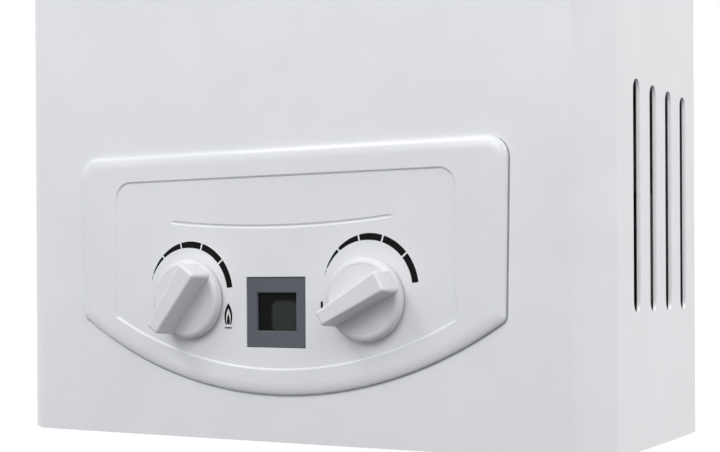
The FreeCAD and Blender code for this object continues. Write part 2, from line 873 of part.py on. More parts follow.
def make_display():
    half = display_width / 2
    outer = half + display_flange
    window = window_width / 2
    front = recess_plane + display_sink
    back = front_plane + display_depth
    top = display_low + display_height
    low_flange = display_low - display_flange
    high_flange = top + display_flange
    block = join("display_block", [
        make_box("display_nose", (-half, front, display_low), (half, front_plane + 1, top)),
        make_box("display_rim", (-outer, front_plane, low_flange), (outer, back, high_flange)),
    ])
    rear = front_plane + display_flange_thick
    tools = [
        make_box("window_hole", (-window, front - 1, window_low),
                 (window, rear + 1, window_low + window_height)),
        make_box("display_hollow", (-outer + display_wall, rear, low_flange + display_wall),
                 (outer - display_wall, back + 1, high_flange - display_wall)),
    ]
    keep("display_frame", cut("display_frame", block, tools))
    lens_front = front + lens_sink
    keep("display_lens", make_box("display_lens", (-window, lens_front, window_low),
                                  (window, lens_front + lens_thick, window_low + window_height)))
    board = join("display_board", [
        make_box("circuit_board", (-outer, back, low_flange),
                 (outer, back + board_thick, high_flange)),
        make_box("digit_block", (-window - 1, rear, window_low - 1),
                 (window + 1, back + board_thick / 2, window_low + window_height + 1)),
    ])
    keep("display_board", board)


def make_knob(name, x, pointer):
    body = make_body(f"{name}_body")
    disc = add_sketch(body, "XZ_Plane", f"{name}_disc")
    draw_circle(disc, (0, 0), knob_radius)
    add_pad(body, disc, knob_base)
    dish = add_sketch(body, "XZ_Plane", f"{name}_dish", knob_base)
    draw_circle(dish, (0, 0), knob_radius - knob_rim)
    add_pocket(body, dish, knob_dish)
    ridge = add_sketch(body, "XZ_Plane", f"{name}_ridge")
    draw_outline(ridge, [
        (-ridge_reach, -ridge_tail / 2), (ridge_reach, -ridge_tip / 2),
        (ridge_reach, ridge_tip / 2), (-ridge_reach, ridge_tail / 2)])
    grip = add_pad(body, ridge, knob_height, -ridge_taper)
    high = knob_height.value

    def is_crest(edge, middle):
        return abs(middle.y + high) < 1e-4

    add_fillet(body, grip, ridge_round, is_crest)
    hollow = add_sketch(body, "XZ_Plane", f"{name}_hollow")
    draw_circle(hollow, (0, 0), knob_radius - knob_wall)
    draw_circle(hollow, (0, 0), knob_hub_radius)
    add_pocket(body, hollow, knob_base - knob_dish - knob_wall, True)
    bore = add_sketch(body, "XZ_Plane", f"{name}_bore")
    draw_circle(bore, (0, 0), spindle_radius + run_gap)
    add_pocket(body, bore, spindle_grip, True)
    body.Placement = FreeCAD.Placement(
        FreeCAD.Vector(0, 0, 0), FreeCAD.Rotation(FreeCAD.Vector(0, -1, 0), pointer.value))
    place(body, (x, knob_back, knob_level))
    body.setExpression("Placement.Rotation.Angle", pointer.text)
    keep(name, body)


def make_spindle(name, x):
    start = knob_back - spindle_grip + touch_gap
    end = valve_front_plane + spindle_seat
    keep(name, make_rod(name, "Y", (x, start, knob_level), end - start, spindle_radius))


# The pushrod runs between the two valves, along X
rod_y = valve_front_plane + valve_depth / 2
housing_right = water_x - valve_width / 2
diaphragm_right = housing_right - housing_wall
diaphragm_left = diaphragm_right - diaphragm_thick
housing_left = diaphragm_left - housing_thick
plate_right = diaphragm_left - touch_gap
gas_right = gas_x + valve_width / 2
collar_right = housing_left - switch_thick - housing_wall - button_reach - touch_gap
switch_left = collar_right + touch_gap + button_reach


def make_gas_valve():
    half = valve_width / 2
    block = make_box("gas_block", (gas_x - half, valve_front_plane, valve_low),
                     (gas_x + half, valve_back_plane, valve_top))
    boss = make_rod("gas_boss", "Y", (gas_x, valve_front_plane - front_boss, knob_level),
                    front_boss + 1,
                    2.5 * spindle_radius)
    riser_boss = make_rod("riser_boss", "Z", (gas_x, riser_y, valve_top - 1), port_boss + 1,
                          1.4 * tube_radius)
    tools = [
        make_rod("valve_bore_gas", "Y", (gas_x, valve_front_plane - front_boss - 1, knob_level),
                 spindle_seat + front_boss + 1 + touch_gap, spindle_radius + run_gap),
        make_rod("rod_bore", "X", (gas_right - pushrod_seat - pushrod_travel - 1, rod_y,
                                   diaphragm_level),
                 pushrod_seat + pushrod_travel + 2, pushrod_radius + run_gap),
        make_rod("riser_port", "Z", (gas_x, riser_y, valve_top - valve_height / 4),
                 valve_height, tube_radius - tube_wall),
        make_rod("gas_port", "Z", (gas_x, port_y, valve_low - 1), valve_height / 4, gas_bore),
    ]
    keep("gas_valve_body", cut("gas_valve_body", join("gas_casting", [block, boss, riser_boss]),
                               tools))
    start = gas_x - half - solenoid_length
    keep("gas_solenoid", join("gas_solenoid", [
        make_rod("solenoid_can", "X", (start, rod_y, knob_level), solenoid_length, solenoid_radius),
        make_rod("solenoid_end", "X", (start - solenoid_cap, rod_y, knob_level), solenoid_cap + 1,
                 solenoid_radius / 2),
    ]))


def make_water_valve():
    half = valve_width / 2
    block = make_box("water_block", (water_x - half, valve_front_plane, valve_low),
                     (water_x + half, valve_back_plane, valve_top))
    boss = make_rod("water_boss", "Y", (water_x, valve_front_plane - front_boss, knob_level),
                    front_boss + 1,
                    2.5 * spindle_radius)
    flange = make_rod("water_flange", "X", (diaphragm_right, rod_y, diaphragm_level),
                      housing_wall + 1, diaphragm_radius)
    pipe_boss = make_rod("pipe_boss", "Z", (water_x, port_y, valve_top - 1), port_boss + 1,
                         1.5 * tube_radius)
    tools = [
        make_rod("valve_bore_water", "Y", (water_x, valve_front_plane - front_boss - 1, knob_level),
                 spindle_seat + front_boss + 1 + touch_gap, spindle_radius + run_gap),
        make_rod("inlet_port", "Z", (water_x, port_y, valve_low - 1), valve_height / 4,
                 water_bore),
        make_rod("pipe_port", "Z", (water_x, port_y, valve_top - valve_height / 4),
                 valve_height, tube_radius - tube_wall),
    ]
    casting = join("water_casting", [block, boss, flange, pipe_boss])
    keep("water_valve_body", cut("water_valve_body", casting, tools))
    keep("diaphragm", make_rod("diaphragm", "X", (diaphragm_left, rod_y, diaphragm_level),
                               diaphragm_thick, diaphragm_radius))
    shell = make_rod("housing_shell", "X", (housing_left, rod_y, diaphragm_level),
                     housing_thick, diaphragm_radius)
    cavity = make_rod("housing_cavity", "X", (housing_left + housing_wall, rod_y,
                                              diaphragm_level),
                      housing_thick, diaphragm_radius - housing_wall)
    hole = make_rod("housing_hole", "X", (housing_left - 1, rod_y, diaphragm_level),
                    housing_wall + 2, pushrod_radius + run_gap)
    keep("diaphragm_cover", cut("diaphragm_cover", shell, [cavity, hole]))
    rod_left = gas_right - pushrod_seat
    keep("pushrod", join("pushrod", [
        make_rod("rod_shank", "X", (rod_left, rod_y, diaphragm_level),
                 plate_right - rod_left, pushrod_radius),
        make_rod("rod_plate", "X", (plate_right - plate_thick, rod_y, diaphragm_level),
                 plate_thick, plate_radius),
        make_rod("rod_collar", "X", (collar_right - collar_thick, rod_y, diaphragm_level),
                 collar_thick, collar_radius),
    ]))


def make_microswitch():
    low = diaphragm_level + pushrod_radius + 0.5
    height = switch_height
    box = make_box("switch_case", (switch_left, rod_y - switch_width / 2, low),
                   (housing_left, rod_y + switch_width / 2, low + height))
    level = low + height / 2
    bore = make_rod("switch_bore", "X", (switch_left - 1, rod_y, level),
                    switch_thick / 2 + 1 + touch_gap, button_radius + run_gap)
    keep("microswitch", cut("microswitch", box, [bore]))
    keep("microswitch_button", make_rod(
        "microswitch_button", "X", (switch_left - button_reach, rod_y, level),
        button_reach + switch_thick / 2, button_radius))


def make_valve_bracket():
    left = gas_x - valve_width / 2
    right = water_x
    keep("valve_bracket", join("valve_bracket", [
        make_box("bracket_wall", (left, valve_back_plane, floor_top),
                 (right, valve_back_plane + bracket_sheet, valve_top)),
        make_box("bracket_base", (left, valve_back_plane, floor_top),
                 (right, valve_back_plane + bracket_foot, floor_top + bracket_sheet)),
    ]))


# A pipe union: thread, hexagon and neck, standing down from the floor plate.
def make_fitting(name, x, thread_radius, across_flats, neck, bore):
    hex_low = skirt_height - hex_height
    body = join(f"{name}_blank", [
        make_rod(f"{name}_thread", "Z", (x, port_y, hex_low - thread_length),
                 thread_length + 1, thread_radius),
        make_hex(f"{name}_hex", (x, port_y, hex_low), hex_height, across_flats),
        make_rod(f"{name}_neck", "Z", (x, port_y, hex_low + 1),
                 valve_low - hex_low - 1, neck),
    ])
    hole = make_rod(f"{name}_hole", "Z", (x, port_y, hex_low - thread_length - 1),
                    valve_low - hex_low + thread_length + 2, bore)
    keep(name, cut(name, body, [hole]))


def make_fittings():
    make_fitting("water_inlet_fitting", water_x, water_thread_radius, water_hex, neck_radius,
                 water_bore)
    make_fitting("water_outlet_fitting", -outlet_offset, water_thread_radius, water_hex,
                 neck_radius, water_bore)
    make_fitting("gas_inlet_fitting", gas_x, gas_thread_radius, gas_hex, gas_thread_radius,
                 gas_bore)
    mouth = skirt_height - hex_height - thread_length
    sieve = make_rod("sieve_can", "Z", (water_x, port_y, mouth + 2), filter_length, water_bore)
    hollow = make_rod("sieve_hollow", "Z", (water_x, port_y, mouth + 1), filter_length,
                      water_bore - 1)
    keep("inlet_filter", cut("inlet_filter", sieve, [hollow]))
    plug_low = skirt_height - hex_height / 2 - plug_head
    keep("drain_plug", join("drain_plug", [
        make_rod("plug_head_knurl", "Z", (plug_x, plug_y, plug_low), plug_head, plug_radius),
        make_rod("plug_neck", "Z", (plug_x, plug_y, plug_low + plug_head - 1),
                 valve_low - plug_low - plug_head + 1, plug_neck_radius),
    ]))


# Burner places
frame_half = burner_frame_width / 2
frame_back = plate_front - burner_rear_gap
frame_front = frame_back - burner_frame_depth
frame_top = burner_low + burner_frame_height
bar_low = burner_low + ledge_lift
bar_top = bar_low + bar_height
manifold_back = frame_front - manifold_gap
manifold_front = manifold_back - manifold_size
riser_y = port_y - riser_forward
electrode_level = bar_top + electrode_rise


def bar_places():
    count = int(bar_count.value)
    return [bar_pitch * (number - (count - 1) / 2) for number in range(count)]


def make_burner():
    wall = plate_sheet
    outer = make_box("frame_outer", (-frame_half, frame_front, burner_low),
                     (frame_half, frame_back, frame_top))
    inner = make_box("frame_inner", (-frame_half + wall, frame_front + wall, burner_low - 1),
                     (frame_half - wall, frame_back - wall, frame_top + 1))
    holes = [inner]
    for x in bar_places():
        holes.append(make_rod("nozzle_hole", "Y", (x, frame_front - 1, nozzle_level), wall + 2,
                              nozzle_radius + hole_clearance))
    for x in electrode_places():
        holes.append(make_rod("electrode_hole", "Y", (x, frame_front - 1, electrode_level),
                              wall + 2, electrode_radius + run_gap))
    walls = cut("frame_walls", outer, holes)
    ledges = []
    for low, high in ((frame_front + wall / 2, frame_front + ledge_width),
                      (frame_back - ledge_width, frame_back - wall / 2)):
        ledges.append(make_box("frame_ledge", (-frame_half + wall / 2, low, bar_low - wall),
                               (frame_half - wall / 2, high, bar_low)))
    keep("burner_frame", join("burner_frame", [walls] + ledges))
    bars = []
    for x in bar_places():
        block = make_box("bar_block", (x - bar_width / 2, frame_front + bar_margin, bar_low),
                         (x + bar_width / 2, frame_back - bar_margin, bar_top))
        throat = make_rod("bar_throat", "Y", (x, frame_front + bar_margin - 1, nozzle_level),
                          bar_sheet + 2, throat_radius)
        flame_slot = make_box("bar_slot", (x - 1, frame_front + 2 * bar_margin, bar_top - 4),
                              (x + 1, frame_back - 2 * bar_margin, bar_top + 1))
        hollow = make_box("bar_hollow",
                          (x - bar_width / 2 + bar_sheet, frame_front + bar_margin + bar_sheet,
                           bar_low + bar_sheet),
                          (x + bar_width / 2 - bar_sheet, frame_back - bar_margin - bar_sheet,
                           bar_top - bar_sheet))
        bars.append(cut("burner_bar", block, [throat, flame_slot, hollow]))
    keep("burner_bars", group("burner_bars", bars))


def make_manifold():
    reach = bar_pitch * (bar_count / 2)
    low = nozzle_level - manifold_size / 2
    outer = make_box("manifold_outer", (-reach, manifold_front, low),
                     (reach, manifold_back, low + manifold_size))
    inner = make_box("manifold_inner",
                     (-reach + manifold_wall, manifold_front + manifold_wall, low + manifold_wall),
                     (reach - manifold_wall, manifold_back - manifold_wall,
                      low + manifold_size - manifold_wall))
    tools = [inner]
    nozzles = []
    for x in bar_places():
        tools.append(make_rod("tap_hole", "Y", (x, manifold_back - manifold_wall - 1,
                                                nozzle_level),
                              manifold_wall + 2, nozzle_radius))
        jet = make_rod("jet_blank", "Y", (x, manifold_back - manifold_wall, nozzle_level),
                       manifold_wall + manifold_gap + 2, nozzle_radius)
        hole = make_rod("jet_hole", "Y", (x, manifold_back - manifold_wall - 1, nozzle_level),
                        manifold_wall + manifold_gap + 4, nozzle_bore)
        nozzles.append(cut("gas_nozzle", jet, [hole]))
    middle = (manifold_front + manifold_back) / 2
    tools.append(make_rod("riser_hole", "Z", (gas_x, middle, low - 1), manifold_wall + 2,
                          tube_radius - 2 * tube_wall))
    keep("gas_manifold", cut("gas_manifold", outer, tools))
    keep("gas_nozzles", group("gas_nozzles", nozzles))
    elbow = burner_low - tube_radius - riser_gap
    keep("gas_riser", make_pipe("gas_riser", [
        (gas_x, riser_y, valve_top + port_boss), (gas_x, riser_y, elbow), (gas_x, middle, elbow),
        (gas_x, middle, low)], tube_radius - tube_wall, tube_wall))


def electrode_places():
    return [-electrode_pitch * 0.5, electrode_pitch * 0.5, electrode_pitch * 1.5]


def make_electrodes():
    sleeves = []
    wires = []
    start = frame_front - electrode_front
    for x in electrode_places():
        sleeve = make_rod("sleeve_blank", "Y", (x, start, electrode_level),
                          electrode_front + 6, electrode_radius)
        hole = make_rod("sleeve_hole", "Y", (x, start - 1, electrode_level),
                        electrode_front + 8, electrode_wire)
        sleeves.append(cut("electrode_sleeve", sleeve, [hole]))
        wires.append(make_rod("electrode_pin", "Y", (x, start - 2, electrode_level),
                              electrode_front + electrode_reach, electrode_wire))
    keep("electrode_sleeves", group("electrode_sleeves", sleeves))
    keep("electrode_wires", group("electrode_wires", wires))
    half = 2 * electrode_radius
    plate = make_box("electrode_plate",
                     (electrode_places()[0] - half, frame_front - plate_sheet,
                      electrode_level - half),
                     (electrode_places()[2] + half, frame_front, electrode_level + half))
    holes = []
    for x in electrode_places():
        holes.append(make_rod("plate_hole", "Y", (x, frame_front - 2 * plate_sheet,
                                                  electrode_level),
                              3 * plate_sheet, electrode_radius + run_gap))
    keep("electrode_bracket", cut("electrode_bracket", plate, holes))


def make_burner_supports():
    items = []
    wall = 2 * plate_sheet
    for sign in (1, -1):
        inner = sign * frame_half
        outer = sign * (frame_half + wall)
        low_x = inner if sign > 0 else outer
        high_x = outer if sign > 0 else inner
        arm = make_box("support_arm", (low_x, frame_back - burner_frame_depth / 2, burner_low),
                       (high_x, plate_front, burner_low + ledge_lift))
        foot_low = inner if sign > 0 else outer - bracket_foot
        foot_high = outer + bracket_foot if sign > 0 else inner
        foot = make_box("support_foot", (foot_low, plate_front - wall, burner_low),
                        (foot_high, plate_front, burner_low + ledge_lift))
        items.append(join("burner_support", [arm, foot]))
    keep("burner_supports", group("burner_supports", items))


# Heat exchanger places
chamber_half = frame_half - chamber_inset
chamber_front = frame_front + chamber_inset
chamber_back = frame_back - chamber_inset
chamber_top = frame_top + chamber_height
fin_top = chamber_top - fin_top_gap
fin_low = fin_top - fin_height
pass_level = (fin_low + fin_top) / 2
coil_x = chamber_half + coil_side_gap
coil_front = (chamber_front + inner_front) / 2
coil_back = (chamber_back + plate_front) / 2
depth_middle = (chamber_front + chamber_back) / 2


def pass_places():
    return [depth_middle + pass_pitch * step for step in (1.5, 0.5, -0.5, -1.5)]


def pass_rods(radius):
    rods = []
    for y in pass_places():
        rods.append(make_rod("pass_hole", "X", (-coil_x, y, pass_level), 2 * coil_x, radius))
    return rods


def make_exchanger():
    wall = copper_sheet
    outer = make_box("chamber_outer", (-chamber_half, chamber_front, frame_top),
                     (chamber_half, chamber_back, chamber_top))
    inner = make_box("chamber_inner", (-chamber_half + wall, chamber_front + wall, frame_top - 1),
                     (chamber_half - wall, chamber_back - wall, chamber_top + 1))
    foot = make_box("chamber_foot", (-frame_half, frame_front, frame_top),
                    (frame_half, frame_back, frame_top + 2 * wall))
    skirt = join("chamber_blank", [outer, foot])
    keep("combustion_chamber", cut("combustion_chamber", skirt,
                                   [inner] + pass_rods(tube_radius + run_gap)))
    fins = []
    reach = chamber_half.value - copper_sheet.value - fin_pitch.value
    steps = int(reach / fin_pitch.value)
    for step in range(-steps, steps + 1):
        x = fin_pitch * step
        fins.append(make_box("fin", (x - fin_thick / 2, chamber_front + wall, fin_low),
                             (x + fin_thick / 2, chamber_back - wall, fin_top)))
    stack = group("fin_stack", fins)
    keep("fin_block", cut("fin_block", stack, pass_rods(tube_radius + run_gap)))
    level = frame_top + coil_low
    second = level + coil_pitch
    passes = pass_places()
    route = [
        (coil_x, port_y, join_level), (coil_x, port_y, level), (coil_x, coil_front, level),
        (-coil_x, coil_front, level), (-coil_x, coil_back, level), (coil_x, coil_back, level),
        (coil_x, coil_back, second), (coil_x, coil_front, second), (-coil_x, coil_front, second),
        (-coil_x, coil_back, second), (-coil_x, coil_back, pass_level),
        (-coil_x, passes[0], pass_level), (coil_x, passes[0], pass_level),
        (coil_x, passes[1], pass_level), (-coil_x, passes[1], pass_level),
        (-coil_x, passes[2], pass_level), (coil_x, passes[2], pass_level),
        (coil_x, passes[3], pass_level), (-outlet_offset, passes[3], pass_level),
        (-outlet_offset, passes[3], join_level),
    ]
    keep("exchanger_tube", make_pipe("exchanger_tube", route, tube_radius, tube_wall))
    keep("overheat_thermostat", join("overheat_thermostat", [
        make_rod("thermostat_disc", "X", (-chamber_half - thermostat_height, depth_middle,
                                          chamber_top - 2 * thermostat_radius),
                 thermostat_height, thermostat_radius),
        make_box("thermostat_foot",
                 (-chamber_half - plate_sheet, depth_middle - 1.5 * thermostat_radius,
                  chamber_top - 2.6 * thermostat_radius),
                 (-chamber_half, depth_middle + 1.5 * thermostat_radius,
                  chamber_top - 1.4 * thermostat_radius)),
    ]))


def make_pipes():
    turn_level = box_top - turn_drop
    keep("inlet_pipe", make_pipe("inlet_pipe", [
        (water_x, port_y, valve_top + port_boss), (water_x, port_y, turn_level),
        (coil_x, port_y, turn_level), (coil_x, port_y, join_level)], tube_radius, tube_wall))
    last = pass_places()[3]
    keep("outlet_pipe", make_pipe("outlet_pipe", [
        (-outlet_offset, last, join_level), (-outlet_offset, last, turn_level),
        (-outlet_offset, port_y, turn_level), (-outlet_offset, port_y, valve_low)],
        tube_radius, tube_wall))
    nuts = []
    for x, y in ((coil_x, port_y), (-outlet_offset, last)):
        blank = make_hex("nut_blank", (x, y, join_level - hex_height / 2), hex_height,
                         3.2 * tube_radius)
        hole = make_rod("nut_hole", "Z", (x, y, join_level - hex_height), 2 * hex_height,
                        tube_radius + run_gap)
        nuts.append(cut("union_nut", blank, [hole]))
    keep("pipe_nuts", group("pipe_nuts", nuts))


# Flue and rain cap places
cap_width = flue_width + 2 * cap_margin
cap_depth = flue_depth + 2 * cap_margin
cap_middle = rear_plane - cap_rear - cap_depth / 2
cap_front = cap_middle - cap_depth / 2
cap_back = cap_middle + cap_depth / 2
cap_top = case_height + cap_height


def wedge(name, half_low, front_low, back_low, half_high, front_high, back_high, low, high):
    item = doc.addObject("Part::Wedge", name)
    values = {
        "Xmin": -half_low, "Xmax": half_low, "Zmin": -back_low, "Zmax": -front_low,
        "X2min": -half_high, "X2max": half_high, "Z2min": -back_high, "Z2max": -front_high,
        "Ymin": low, "Ymax": high,
    }
    for prop, value in values.items():
        bind(item, prop, value)
    item.Placement = FreeCAD.Placement(FreeCAD.Vector(0, 0, 0), FreeCAD.Rotation(X_AXIS, 90))
    return item


def make_flue():
    wall = plate_sheet
    half = flue_width / 2 + wall
    front = cap_middle - flue_depth / 2 - wall
    back = cap_middle + flue_depth / 2 + wall
    outer = wedge("flue_outer", chamber_half, chamber_front, chamber_back,
                  half, front, back, chamber_top, top_under)
    inner = wedge("flue_inner", chamber_half - wall, chamber_front + wall, chamber_back - wall,
                  half - wall, front + wall, back - wall, chamber_top, top_under)
    keep("flue_collector", cut("flue_collector", outer, [inner]))


def cap_screw_places():
    x = cap_width / 2 + cap_flange / 2
    return [(sign * x, cap_middle + step * cap_depth / 4) for sign in (1, -1) for step in (1, -1)]


def make_rain_cap():
    wall = cover_sheet
    half = cap_width / 2
    hood = make_box("cap_outer", (-half, cap_front, case_height), (half, cap_back, cap_top))
    hollow = make_box("cap_inner", (-half + wall, cap_front + wall, case_height - 1),
                      (half - wall, cap_back - wall, cap_top - wall))
    flange = make_box("cap_flange_sheet", (-half - cap_flange, cap_front, case_height),
                      (half + cap_flange, cap_back, case_height + wall))
    tools = [hollow]
    rows = int((cap_height.value - 2 * cap_slot_pitch.value) / cap_slot_pitch.value) + 1
    for row in range(rows):
        low = case_height + cap_slot_pitch * (row + 1)
        high = low + cap_slot_height
        for column in range(3):
            left = -half + cap_width / 3 * column + cap_slot_pitch / 2
            right = left + cap_width / 3 - cap_slot_pitch
            tools.append(make_box("front_slot", (left, cap_front - 1, low),
                                  (right, cap_front + 2 * wall, high)))
        for sign in (1, -1):
            low_x = half - 2 * wall if sign > 0 else -half - wall
            tools.append(make_box("side_slot", (low_x, cap_front + cap_slot_pitch, low),
                                  (low_x + 3 * wall, cap_back - cap_slot_pitch, high)))
    for x, y in cap_screw_places():
        tools.append(make_rod("cap_hole", "Z", (x, y, case_height - 1), 3 * wall + 1,
                              screw_radius + stud_clearance))
    keep("rain_cap", cut("rain_cap", join("cap_blank", [hood, flange]), tools))


# Handle places: the bail lies forward on the case top and swings up to stand
handle_z = case_height + handle_lift
handle_y = rear_plane - handle_back
handle_x = handle_span / 2
grip_y = handle_y - handle_arm
ear_inner = handle_x + handle_radius + ear_gap
ear_outer = ear_inner + ear_thick


def ear_screw_places():
    return [(sign * (ear_outer + ear_foot / 2), handle_y) for sign in (1, -1)]


def make_handle():
    parts = [make_rod("bail_bar", "X", (-handle_x, grip_y, handle_z), handle_span, handle_radius)]
    for sign in (1, -1):
        x = sign * handle_x
        parts.append(make_rod("bail_arm", "Y", (x, grip_y, handle_z), handle_arm, handle_radius))
        parts.append(make_ball("bail_bend", (x, grip_y, handle_z), handle_radius))
        parts.append(make_ball("bail_end", (x, handle_y, handle_z), handle_radius))
        start = x if sign > 0 else x - handle_pin_length
        parts.append(make_rod("bail_pin", "X", (start, handle_y, handle_z), handle_pin_length,
                              handle_pin_radius))
    keep("carry_handle", join("carry_handle", parts))
    sleeve = make_rod("grip_blank", "X", (-grip_length / 2, grip_y, handle_z), grip_length,
                      grip_radius)
    hole = make_rod("grip_hole", "X", (-grip_length / 2 - 1, grip_y, handle_z),
                    grip_length + 2, handle_radius)
    keep("handle_grip", cut("handle_grip", sleeve, [hole]))
    ears = []
    for sign in (1, -1):
        low_x = ear_inner if sign > 0 else -ear_outer
        foot_low = ear_inner if sign > 0 else -ear_outer - ear_foot
        plate = make_box("ear_plate", (low_x, handle_y - ear_width / 2, case_height),
                         (low_x + ear_thick, handle_y + ear_width / 2,
                          handle_z + ear_width / 2))
        foot = make_box("ear_base", (foot_low, handle_y - ear_width / 2, case_height),
                        (foot_low + ear_thick + ear_foot, handle_y + ear_width / 2,
                         case_height + ear_thick))
        hole = make_rod("ear_hole", "X", (low_x - 1, handle_y, handle_z), ear_thick + 2,
                        handle_pin_radius + run_gap)
        screw = make_rod("ear_screw_hole", "Z",
                         (sign * (ear_outer + ear_foot / 2), handle_y, case_height - 1),
                         ear_thick + 2, screw_radius + stud_clearance)
        ears.append(cut("handle_ear", join("ear_blank", [plate, foot]), [hole, screw]))
    keep("handle_brackets", group("handle_brackets", ears))


def make_battery():
    outer = make_box("battery_outer", (box_left, box_front, floor_top),
                     (box_right, box_back, box_top))
    inner = make_box("battery_inner", (box_left + box_wall, box_front + box_wall, floor_top - 1),
                     (box_right - box_wall, box_back - box_wall, box_top - box_wall))
    lugs = []
    for low in (box_left + 2 * box_wall, box_right - 6 * box_wall):
        lugs.append(make_box("battery_lug", (low, box_back, floor_top),
                             (low + 4 * box_wall, plate_front - plate_sheet, box_top)))
    keep("battery_box", join("battery_box", [cut("battery_shell", outer, [inner])] + lugs))
    middle_y = (box_front + box_back) / 2
    cells = []
    contacts = []
    for step in (1, 3):
        x = box_left + box_wall + cell_gap * ((step + 1) / 2) + cell_radius * step
        cells.append(join("battery_cell", [
            make_rod("cell_can", "Z", (x, middle_y, cell_low), cell_length, cell_radius),
            make_rod("cell_nub", "Z", (x, middle_y, cell_low + cell_length - 1), nub_height + 1,
                     nub_radius),
        ]))
        contacts.append(make_box(
            "top_contact", (x - 1.5 * nub_radius, middle_y - 1.5 * nub_radius,
                            box_top - box_wall - contact_thick),
            (x + 1.5 * nub_radius, middle_y + 1.5 * nub_radius, box_top - box_wall)))
    keep("battery_cells", group("battery_cells", cells))
    keep("battery_contacts", group("battery_contacts", contacts))
    knuckle_left = box_left + bracket_sheet + touch_gap
    knuckle_right = box_right - bracket_sheet - touch_gap
    panel = make_box("door_panel", (knuckle_left, box_front, door_low),
                     (knuckle_right, door_pin_y, door_top))
    knuckle = make_rod("door_knuckle", "X", (knuckle_left, door_pin_y, door_pin_z),
                       knuckle_right - knuckle_left, door_knuckle_radius)
    web = make_box("door_web", (knuckle_left, door_pin_y - door_knuckle_radius, door_pin_z),
                   (knuckle_right, door_pin_y, door_top))
    strip = make_box("door_bridge", (box_left + box_wall + cell_radius, middle_y - nub_radius,
                                     door_top - door_thick / 2),
                     (box_right - box_wall - cell_radius, middle_y + nub_radius,
                      door_top + contact_thick))
    bore = make_rod("door_bore", "X", (knuckle_left - 1, door_pin_y, door_pin_z),
                    knuckle_right - knuckle_left + 2, door_pin_radius + run_gap)
    keep("battery_door", cut("battery_door", join("door_blank", [panel, knuckle, web, strip]),
                             [bore]))
    keep("battery_door_pin", make_rod("battery_door_pin", "X",
                                      (box_left - 1, door_pin_y, door_pin_z),
                                      box_right - box_left + 2, door_pin_radius))


def make_electrics():
    left = -plate_half + plate_sheet + box_right_gap
    keep("ignition_controller", make_box(
        "ignition_controller",
        (left, plate_front - controller_depth, floor_top + controller_lift),
        (left + controller_width, plate_front, floor_top + controller_lift + controller_height)))
    tilt_left = left + controller_width + tilt_size
    tilt_low = floor_top + controller_lift + controller_height - tilt_size
    keep("tilt_switch", make_box("tilt_switch", (tilt_left, plate_front - tilt_size * 0.7,
                                                 tilt_low),
                                 (tilt_left + tilt_size, plate_front, tilt_low + tilt_size)))


def screw_along(name, axis, point, sign):
    x, y, z = point
    if axis == "X":
        head = (x, y, z) if sign > 0 else (x - screw_head_height, y, z)
        shank = (x - screw_length, y, z) if sign > 0 else (x, y, z)
    else:
        head = (x, y, z)
        shank = (x, y, z - screw_length)
    return join(name, [make_rod(f"{name}_head", axis, head, screw_head_height, screw_head_radius),
                       make_rod(f"{name}_shank", axis, shank, screw_length, screw_radius)])


def make_screws():
    side = []
    for x, y, z, sign in cover_screw_places():
        side.append(screw_along("cover_screw", "X", (x, y, z), sign))
    keep("cover_screws", group("cover_screws", side))
    top = []
    for x, y in cap_screw_places():
        top.append(screw_along("cap_screw", "Z", (x, y, case_height + cover_sheet), 1))
    for x, y in ear_screw_places():
        top.append(screw_along("ear_screw", "Z", (x, y, case_height + ear_thick), 1))
    keep("top_screws", group("top_screws", top))


def build():
    make_front_cover()
    make_back_plate()
    make_bottom_plate()
    make_hinge_tabs()
    make_control_panel()
    make_clip_washers()
    make_display()
    make_knob("gas_knob", gas_x, gas_pointer)
    make_knob("water_knob", water_x, water_pointer)
    make_spindle("gas_spindle", gas_x)
    make_spindle("water_spindle", water_x)
    make_gas_valve()
    make_water_valve()
    make_microswitch()
    make_valve_bracket()
    make_fittings()
    make_burner()
    make_manifold()
    make_electrodes()
    make_burner_supports()
    make_exchanger()
    make_pipes()
    make_flue()
    make_rain_cap()
    make_handle()
    make_battery()
    make_electrics()
    make_screws()


def check_document():
    doc.recompute()
    for item in doc.Objects:
        if "Invalid" in item.State or "Error" in item.State:
            raise RuntimeError(f"{item.Label} failed: {item.State}")
    for name, item in pieces.items():
        if item.Shape.isNull() or not item.Shape.isValid() or not item.Shape.Solids:
            raise RuntimeError(f"{name} has no valid solid")


build()
check_document()
os.makedirs("parts", exist_ok=True)
for name, item in pieces.items():
    item.Shape.exportStep(f"parts/{name}.step")
    print(name, len(item.Shape.Solids), round(item.Shape.Volume))
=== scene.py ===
import bpy
import bmesh
import json
import math
from mathutils import Matrix, Vector


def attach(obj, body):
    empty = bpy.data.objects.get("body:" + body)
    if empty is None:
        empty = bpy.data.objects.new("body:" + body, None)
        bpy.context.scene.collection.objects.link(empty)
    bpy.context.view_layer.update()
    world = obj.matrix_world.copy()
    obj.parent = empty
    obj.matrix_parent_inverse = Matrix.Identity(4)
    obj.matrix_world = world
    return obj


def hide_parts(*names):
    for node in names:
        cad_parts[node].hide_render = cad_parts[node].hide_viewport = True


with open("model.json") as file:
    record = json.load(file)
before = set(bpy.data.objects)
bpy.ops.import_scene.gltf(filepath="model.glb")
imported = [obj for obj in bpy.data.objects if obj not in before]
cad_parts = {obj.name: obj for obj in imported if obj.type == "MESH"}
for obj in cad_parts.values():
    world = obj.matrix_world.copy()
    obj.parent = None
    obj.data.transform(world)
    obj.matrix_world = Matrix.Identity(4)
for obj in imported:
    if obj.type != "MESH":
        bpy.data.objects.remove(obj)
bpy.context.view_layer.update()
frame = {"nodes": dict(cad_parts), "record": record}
nodes = frame["nodes"]
slotOf = {row["node"]: row["material_slot"] for row in frame["record"]["subparts"]}
bodies = frame["record"]["behaviour"]["bodies"]
bodyOf = {member: body for body, members in bodies.items() for member in members}
print("stage: frame loaded")


